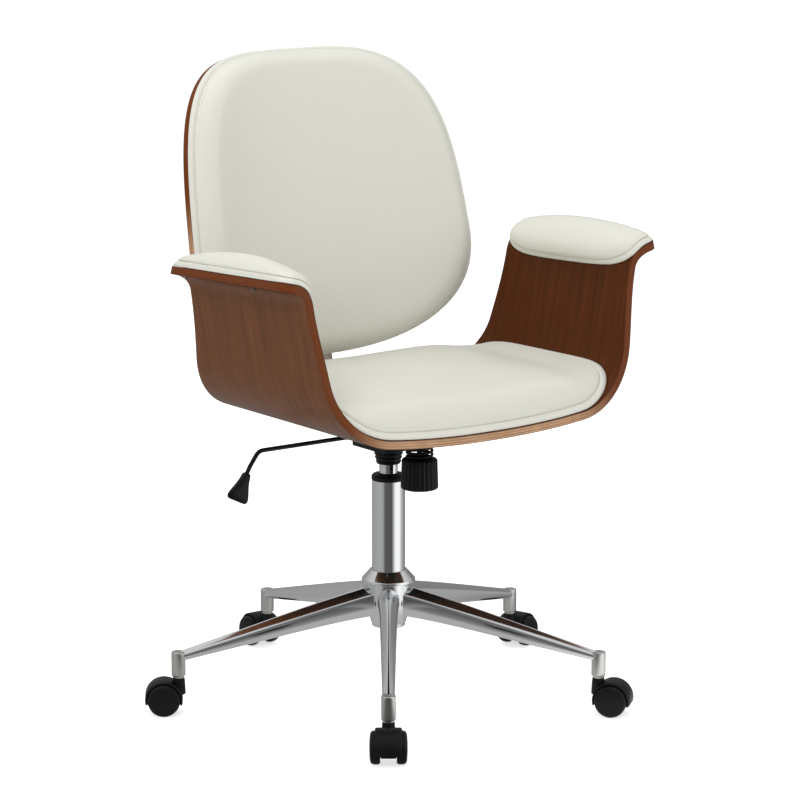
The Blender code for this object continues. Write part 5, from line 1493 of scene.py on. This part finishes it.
def build_column():
    """Makes the chromed tube, its collar, the gas cylinder and the ribbed cup above it."""
    low = low_corner("column_tube").z
    high = high_corner("column_tube").z
    radius = half_width_of("column_tube", 0)
    wall = 0.0016
    tube_mesh = turned("tube", [
        (radius, high, 0.0005), (radius, low, 0.0010), (0.0053, low), (0.0053, low + 0.0030),
        (radius - wall, low + 0.0030), (radius - wall, high, 0.0005),
    ], 128, closed=True)
    stand("column_tube_polished", tube_mesh, chrome(), "base", "polished_chrome", "column_tube")

    collar_low = low_corner("column_collar").z
    collar_high = high_corner("column_collar").z
    wide = half_width_of("column_collar", 0)
    collar = turned("collar", [
        (0.0145, collar_high), (0.0165, collar_high, 0.0008), (0.0178, collar_high - 0.0018, 0.0006),
        (wide - 0.0022, collar_high - 0.0018, 0.0012), (wide, collar_high - 0.0046, 0.0016),
        (wide, collar_low, 0.0005), (0.0145, collar_low),
    ], 96, closed=True)
    stand("column_collar_moulded", collar, black_plastic(), "base", "black_plastic", "column_collar")

    foot = low_corner("gas_cylinder").z
    top = high_corner("gas_cylinder").z
    wide = half_width_of("gas_cylinder", 0)
    cylinder = turned("cylinder", [
        (0.0043, top), (wide - 0.0009, top, 0.0008), (wide, top - 0.0260), (wide, foot, 0.0012),
        (0.0053, foot), (0.0053, foot + 0.1500), (0.0, foot + 0.1500), (0.0, top - 0.0102),
        (0.0043, top - 0.0102),
    ], 96)
    stand("gas_cylinder_polished", cylinder, chrome(), "lift", "polished_chrome", "gas_cylinder")

    cup_low = low_corner("mechanism_tray").z
    cup_top = cup_low + 0.0245
    ribs = [(0.0145, cup_low - 0.0003), (0.0180, cup_low - 0.0003, 0.0010)]
    count = 4
    for i in range(count):
        share = (i + 0.5) / count
        height = between(cup_low, cup_top, share)
        reach = 0.0178 + 0.0052 * share
        ribs += [(reach - 0.0004, height - 0.0012, 0.0006), (reach + 0.0011, height, 0.0009),
                 (reach - 0.0001, height + 0.0012, 0.0006)]
    ribs += [(0.0240, cup_top - 0.0009, 0.0006), (0.0145, cup_top - 0.0009)]
    stand("cup_boot", turned("cup", ribs, 96, closed=True), black_paint(), "lift", "black_painted_steel")


def build_tension():
    """Makes the ribbed tension knob and its spring."""
    low = low_corner("tension_knob").z
    high = high_corner("tension_knob").z
    centre = centre_of("tension_knob")
    centre.z = 0.0
    bottom_radius = half_width_of("tension_knob", 0)
    top_radius = bottom_radius - 0.0015
    ribs = 22
    count = ribs * 12
    levels = [(0.0, -0.0040, 0.0), (0.0008, -0.0016, 0.15), (0.0026, 0.0, 1.0)]
    span = high - low
    levels += [(0.0026 + (span - 0.0052) * k / 6, 0.0, 1.0) for k in range(1, 6)]
    levels += [(span - 0.0026, 0.0, 1.0), (span - 0.0008, -0.0012, 0.15), (span, -0.0034, 0.0)]
    ways = [Vector((math.cos(2 * math.pi * i / count), math.sin(2 * math.pi * i / count), 0.0))
            for i in range(count)]
    rings = []
    for rise, inset, share in levels:
        radius = bottom_radius + (top_radius - bottom_radius) * rise / span + inset
        ring = []
        for i, way in enumerate(ways):
            groove = 0.0013 * share * (0.5 - 0.5 * math.cos(ribs * 2 * math.pi * i / count)) ** 2
            ring.append(way * (radius - groove) + UP * (low + rise))
        rings.append(ring)
    hollow = 0.0215
    rings += [[way * hollow + UP * level for way in ways] for level in (high, low + 0.0060)]
    knob = lofted("knob", rings)
    knob.transform(Matrix.Translation(centre))
    fit("tension_knob_moulded", knob, black_plastic(), "knob", "black_plastic", "tension_knob")

    spring_low = low_corner("tension_spring").z
    spring_high = high_corner("tension_spring").z
    wire = 0.0021
    reach = 0.0188
    turns = 9
    per_turn = 40
    points = []
    for i in range(turns * per_turn + 1):
        angle = 2 * math.pi * i / per_turn
        share = i / (turns * per_turn)
        rise = spring_low + wire + (spring_high - spring_low - 2 * wire) * share
        points.append(Vector((reach * math.cos(angle), reach * math.sin(angle), rise)) + centre)
    spring = new_piece("tension_spring_wound", tube("spring", points, wire, 4), black_paint())
    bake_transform(spring)
    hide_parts("tension_spring")


def build_lever():
    """Makes the bent lever rod and its paddle handle."""
    pivot = Vector(joint_named("lever_lift")["pos_m"])
    radius = 0.0033
    kink = pivot.x - 0.0120
    run_z = pivot.z + 0.0120
    run_start = kink - 0.0260
    run_end = run_start - 0.1600
    drop = Vector((run_end - 0.0170, pivot.y, run_z - 0.0230))
    lean = math.radians(26.0)
    way = Vector((-math.sin(lean), 0.0, -math.cos(lean)))
    across = Vector((math.cos(lean), 0.0, -math.sin(lean)))
    origin = drop + way * 0.0080
    corners = [(COLUMN.x + 0.0140, pivot.z), (kink, pivot.z), (run_start, run_z), (run_end, run_z)]
    path = [Vector((x, pivot.y, z)) for x, z in corners] + [drop, origin + way * 0.0160]
    rod = tube("rod", bent(path, 0.0080), radius, 6)
    fit("lever_rod_bent", rod, black_paint(), "lever", "black_painted_steel", "lever_rod")

    rings = []
    for t, wide, thick in HANDLE_SHAPE:
        middle = origin + way * HANDLE_LENGTH * t
        ring = []
        for i in range(72):
            angle = 2 * math.pi * i / 72
            ring.append(middle + across * (wide / 2 * signed_power(math.cos(angle), 0.72))
                        + Vector((0.0, thick / 2 * signed_power(math.sin(angle), 0.72), 0.0)))
        rings.append(ring)
    handle = subdivided(lofted("handle", rings))
    fit("lever_handle_moulded", handle, black_plastic(), "lever", "black_plastic", "lever_handle")


def build_back_bar():
    """Makes the flat steel bar that carries the back, with rounded edges and its bolts."""
    lean = math.radians(BACK_RECLINE_DEG)
    touch = 0.0003
    thickness = 0.0050
    half = half_width_of("back_bar", 0)
    up_the_back = 0.1600
    inner = 0.0120
    outer = inner + thickness
    floor_z = SEAT_UNDER_Z - touch
    way = Vector((math.sin(lean), math.cos(lean)))
    away = Vector((math.cos(lean), -math.sin(lean)))
    face = Vector((BACK_FOOT.y, BACK_FOOT.z)) + away * touch
    front_y = low_corner("back_bar").y
    centre_z = floor_z + inner
    foot_on_line = face - away * inner
    centre = Vector((foot_on_line.x + (centre_z - foot_on_line.y) * math.tan(lean), centre_z))
    upright = math.pi / 2 - lean
    bend = [Vector((math.cos(a), math.sin(a))) for a in (math.pi * 1.5 + upright * i / 16 for i in range(17))]
    top = face + way * up_the_back
    near = [Vector((front_y, floor_z))] + [centre + step * inner for step in bend] + [top]
    far = [top + away * thickness] + [centre + step * outer for step in reversed(bend)]
    far.append(Vector((front_y, floor_z - thickness)))
    bar = extruded("bar", [(p.x, p.y) for p in near + far], -half, half, "X", 0.0009)
    fit("back_bar_pressed", bar, zinc(), "seat", "plain_steel", "back_bar")

    places = []
    out = Vector((0.0, away.x, away.y))
    for side in (-1.0, 1.0):
        for rise in (up_the_back - 0.0200, up_the_back - 0.0800):
            at = face + way * rise
            places.append((Vector((side * half / 2, at.x, at.y)) + out * (thickness + 0.0006), out))
        places.append((Vector((side * half / 2, front_y + 0.0200, floor_z - thickness - 0.0006)), -UP))
    heads = copies("bar_bolts", places, 0.0075, 0.0036, zinc(), bolt_head)
    fit("back_bar_bolts", heads, zinc(), "seat", "plain_steel")


def build_fasteners():
    """Makes the seat's bolts and the screws that hold the arm pads from below."""
    bolts = ["seat_bolt_%d" % number for number in range(1, 5)]
    places = []
    for name in bolts:
        centre = centre_of(name)
        places.append((Vector((centre.x, centre.y, low_corner(name).z + 0.0034)), -UP))
    heads = copies("seat_bolts", places, 0.0080, 0.0036, zinc(), bolt_head)
    fit("seat_bolt_heads", heads, zinc(), "seat", "plain_steel", *bolts)
    places = []
    for side in (-1.0, 1.0):
        for y, along in ((-0.1000, STATIONS[4] - 0.0120), (0.0500, STATIONS[4] + 0.0060)):
            heading = section_point(along)[2]
            under = Vector((side * math.sin(heading), 0.0, -math.cos(heading)))
            places.append((seat_point(side * along, y, -0.0006), under))
    screws = copies("pad_screws", places, 0.0046, 0.0016, zinc(), bolt_head)
    fit("arm_pad_screws", screws, zinc(), "seat", "plain_steel")


def finish_frame():
    """Gives the frame's own plain pieces their finishes."""
    finishes = (
        (zinc, ("thrust_bearing", "piston_rod", "retaining_clip", "valve_button", "tilt_axle")),
        (black_paint, ("mechanism_tray", "seat_plate", "tension_bolt", "tension_washer")),
        (black_plastic, ("guide_sleeve", "lever_bush")),
    )
    for finish, names in finishes:
        for name in names:
            obj = frame["nodes"][name]
            for slot in obj.material_slots:
                slot.material = finish()


# Stage


def area_light(name, place, target, size, power):
    """Adds a square soft light that looks at a point and that no gloss mirrors."""
    lamp = bpy.data.lights.new(name, "AREA")
    lamp.shape = "SQUARE"
    lamp.size = size
    lamp.energy = power
    obj = linked(name, lamp)
    obj.location = place
    obj.rotation_euler = (Vector(target) - Vector(place)).to_track_quat("-Z", "Y").to_euler()
    obj.visible_glossy = False


def studio_bands():
    """Makes the group that gives what the metal mirrors: pale walls with darker gaps by bearing."""
    tree, fresh = group_tree("studio_bands", [("Direction", "NodeSocketVector", None)],
                             [("Colour", "NodeSocketColor")])
    if not fresh:
        return tree
    source = node(tree, "NodeGroupInput", (-1100, 0)).outputs
    unit = node(tree, "ShaderNodeVectorMath", (-900, 0), {0: source["Direction"]}, operation="NORMALIZE")
    split = node(tree, "ShaderNodeSeparateXYZ", (-720, 0), {"Vector": unit.outputs["Vector"]}).outputs
    bearing = worked(tree, (-540, 120), "ARCTAN2", split["Y"], split["X"])
    turn = spread(tree, (-360, 120), bearing, (-math.pi, math.pi))
    walls = ramp(tree, STUDIO_WALLS, (-160, 120), turn)
    ceiling = spread(tree, (-360, -120), split["Z"], (0.30, 0.75))
    ground = spread(tree, (-360, -380), split["Z"], (-0.45, -0.85))
    above = mixed(tree, (150, 50), ceiling, walls, (0.62, 0.62, 0.62, 1.0))
    below = mixed(tree, (400, 0), ground, above, (0.42, 0.42, 0.41, 1.0))
    node(tree, "NodeGroupOutput", (700, 0), {"Colour": below})
    return tree


def studio_world():
    """Makes a white studio: plain fill light, and banded walls where a gloss mirrors them."""
    world = bpy.data.worlds.new("studio")
    bpy.context.scene.world = world
    world.use_nodes = True
    tree = world.node_tree
    tree.nodes.clear()
    rays = node(tree, "ShaderNodeLightPath", (0, 400)).outputs
    place = node(tree, "ShaderNodeTexCoord", (-300, 0))
    bands = node(tree, "ShaderNodeGroup", (0, 0), {"Direction": place.outputs["Generated"]},
                 node_tree=studio_bands())
    fill = node(tree, "ShaderNodeBackground", (300, -200), {"Color": WHITE, "Strength": WORLD_FILL})
    shine = node(tree, "ShaderNodeBackground", (300, -50), {
        "Color": bands.outputs["Colour"], "Strength": BAND_STRENGTH})
    white = node(tree, "ShaderNodeBackground", (300, 150), {"Color": WHITE})
    first = node(tree, "ShaderNodeMixShader", (500, -100), {
        "Fac": rays["Is Glossy Ray"], 1: fill.outputs["Background"], 2: shine.outputs["Background"]})
    second = node(tree, "ShaderNodeMixShader", (700, 0), {
        "Fac": rays["Is Camera Ray"], 1: first.outputs["Shader"], 2: white.outputs["Background"]})
    node(tree, "ShaderNodeOutputWorld", (900, 0), {"Surface": second.outputs["Shader"]})


def pale_floor():
    """Pale floor that keeps the chair's shadow, white to the camera, banded where a gloss mirrors it."""
    made, tree, shader = new_material("pale_floor", (0.93, 0.93, 0.93), 0.8)
    if shader is None:
        return made
    rays = node(tree, "ShaderNodeLightPath", (-500, -500)).outputs
    strength = worked(tree, (-250, -500), "MULTIPLY", rays["Is Camera Ray"], FLOOR_GLOW)
    feed(tree, shader, {"Specular IOR Level": 0.0, "Emission Color": WHITE, "Emission Strength": strength})
    place = node(tree, "ShaderNodeTexCoord", (-900, 300))
    seen_from = node(tree, "ShaderNodeMapping", (-700, 300), {
        "Vector": place.outputs["Object"], "Location": (-COLUMN.x, -COLUMN.y, -MIRROR_HEIGHT)})
    bands = node(tree, "ShaderNodeGroup", (-450, 300), {"Direction": seen_from.outputs["Vector"]},
                 node_tree=studio_bands())
    mirrored = node(tree, "ShaderNodeEmission", (-200, 300), {
        "Color": bands.outputs["Colour"], "Strength": BAND_STRENGTH})
    both = node(tree, "ShaderNodeMixShader", (400, 200), {
        "Fac": rays["Is Glossy Ray"], 1: shader.outputs["BSDF"], 2: mirrored.outputs["Emission"]})
    feed(tree, tree.nodes["Material Output"], {"Surface": both.outputs["Shader"]})
    return made


def build_stage():
    """Adds the pale floor, the soft studio light and the camera."""
    scene = bpy.context.scene
    scene.view_settings.view_transform = "Standard"
    studio_world()
    corners = [(x * FLOOR_REACH, y * FLOOR_REACH, FLOOR_Z) for x, y in ((-1, -1), (1, -1), (1, 1), (-1, 1))]
    floor_mesh = mesh_of("floor", corners, [(0, 1, 2, 3)])
    floor = linked("floor", floor_mesh)
    floor_mesh.materials.append(pale_floor())

    middle = COLUMN + UP * 0.5
    for name, place, size, power in LAMPS:
        area_light(name, COLUMN + Vector(place), middle, size, power)

    view = bpy.data.cameras.new("view")
    view.sensor_width = CAMERA_SENSOR
    view.lens = CAMERA_LENS
    view.shift_x = CAMERA_SHIFT
    view.clip_end = 60.0
    camera = linked("view", view)
    azimuth = math.radians(CAMERA_AZIMUTH_DEG)
    camera.location = COLUMN + Vector((CAMERA_DISTANCE * math.sin(azimuth),
                                       -CAMERA_DISTANCE * math.cos(azimuth), CAMERA_HEIGHT))
    camera.rotation_euler = (math.radians(90.0 - CAMERA_DOWN_DEG), 0.0, azimuth)
    scene.camera = camera


# Operators


class ChairStep:
    """What the steps that build the chair share."""

    bl_options = {"REGISTER", "UNDO"}


class CHAIR_OT_base(ChairStep, bpy.types.Operator):
    """Adds the chromed hub and legs"""

    bl_idname = "chair.base"
    bl_label = "Base"

    def execute(self, context):
        build_base()
        return {"FINISHED"}


class CHAIR_OT_casters(ChairStep, bpy.types.Operator):
    """Adds the five twin wheel casters"""

    bl_idname = "chair.casters"
    bl_label = "Casters"

    def execute(self, context):
        build_casters()
        return {"FINISHED"}


class CHAIR_OT_column(ChairStep, bpy.types.Operator):
    """Adds the column, its collar and the gas cylinder"""

    bl_idname = "chair.column"
    bl_label = "Column"

    def execute(self, context):
        build_column()
        return {"FINISHED"}


class CHAIR_OT_tension(ChairStep, bpy.types.Operator):
    """Adds the tension knob and its spring"""

    bl_idname = "chair.tension"
    bl_label = "Tension knob"

    def execute(self, context):
        build_tension()
        return {"FINISHED"}


class CHAIR_OT_lever(ChairStep, bpy.types.Operator):
    """Adds the height lever"""

    bl_idname = "chair.lever"
    bl_label = "Lever"

    def execute(self, context):
        build_lever()
        return {"FINISHED"}


class CHAIR_OT_seat_shell(ChairStep, bpy.types.Operator):
    """Adds the bent walnut seat"""

    bl_idname = "chair.seat_shell"
    bl_label = "Seat shell"

    def execute(self, context):
        build_seat_shell()
        return {"FINISHED"}


class CHAIR_OT_back_shell(ChairStep, bpy.types.Operator):
    """Adds the bent walnut back"""

    bl_idname = "chair.back_shell"
    bl_label = "Back shell"

    def execute(self, context):
        build_back_shell()
        return {"FINISHED"}


class CHAIR_OT_back_bar(ChairStep, bpy.types.Operator):
    """Adds the flat bar behind the back"""

    bl_idname = "chair.back_bar"
    bl_label = "Back bar"

    def execute(self, context):
        build_back_bar()
        return {"FINISHED"}


class CHAIR_OT_seat_cushion(ChairStep, bpy.types.Operator):
    """Adds the seat cushion"""

    bl_idname = "chair.seat_cushion"
    bl_label = "Seat cushion"

    def execute(self, context):
        build_seat_cushion()
        return {"FINISHED"}


class CHAIR_OT_back_cushion(ChairStep, bpy.types.Operator):
    """Adds the back cushion"""

    bl_idname = "chair.back_cushion"
    bl_label = "Back cushion"

    def execute(self, context):
        build_back_cushion()
        return {"FINISHED"}


class CHAIR_OT_arm_pads(ChairStep, bpy.types.Operator):
    """Adds the two arm pads"""

    bl_idname = "chair.arm_pads"
    bl_label = "Arm pads"

    def execute(self, context):
        build_arm_pads()
        return {"FINISHED"}


class CHAIR_OT_fasteners(ChairStep, bpy.types.Operator):
    """Adds the seat's bolts and the pads' screws"""

    bl_idname = "chair.fasteners"
    bl_label = "Fasteners"

    def execute(self, context):
        build_fasteners()
        return {"FINISHED"}


class CHAIR_OT_plain_pieces(ChairStep, bpy.types.Operator):
    """Gives the frame's own pieces their finishes"""

    bl_idname = "chair.plain_pieces"
    bl_label = "Plain pieces"

    def execute(self, context):
        finish_frame()
        return {"FINISHED"}


class CHAIR_OT_stage(ChairStep, bpy.types.Operator):
    """Adds the floor, the light and the camera"""

    bl_idname = "chair.stage"
    bl_label = "Stage"

    def execute(self, context):
        build_stage()
        return {"FINISHED"}


STEPS = (
    CHAIR_OT_base,
    CHAIR_OT_casters,
    CHAIR_OT_column,
    CHAIR_OT_tension,
    CHAIR_OT_lever,
    CHAIR_OT_seat_shell,
    CHAIR_OT_back_shell,
    CHAIR_OT_back_bar,
    CHAIR_OT_seat_cushion,
    CHAIR_OT_back_cushion,
    CHAIR_OT_arm_pads,
    CHAIR_OT_fasteners,
    CHAIR_OT_plain_pieces,
    CHAIR_OT_stage,
)


class CHAIR_PT_build(bpy.types.Panel):
    """Lists the steps that build the chair."""

    bl_label = "Office chair"
    bl_idname = "CHAIR_PT_build"
    bl_space_type = "VIEW_3D"
    bl_region_type = "UI"
    bl_category = "Chair"

    def draw(self, context):
        """Draws one button for each step, then the sizes and colours."""
        for step in STEPS:
            self.layout.operator(step.bl_idname)
        for name in ChairSizes.__annotations__:
            self.layout.prop(context.scene.chair_sizes, name)
        for name in ChairColours.__annotations__:
            self.layout.prop(context.scene.chair_colours, name)


CLASSES = (ChairColours, ChairSizes) + STEPS + (CHAIR_PT_build,)


def register():
    """Registers the classes and the scene's settings."""
    for made in CLASSES:
        bpy.utils.register_class(made)
    bpy.types.Scene.chair_sizes = PointerProperty(type=ChairSizes)
    bpy.types.Scene.chair_colours = PointerProperty(type=ChairColours)


def unregister():
    """Removes the scene's settings and the classes."""
    del bpy.types.Scene.chair_colours
    del bpy.types.Scene.chair_sizes
    for made in reversed(CLASSES):
        bpy.utils.unregister_class(made)


def main():
    """Builds the chair step by step."""
    register()
    for step in STEPS:
        getattr(bpy.ops.chair, step.bl_idname.split(".")[1])()


if __name__ == "__main__":
    main()
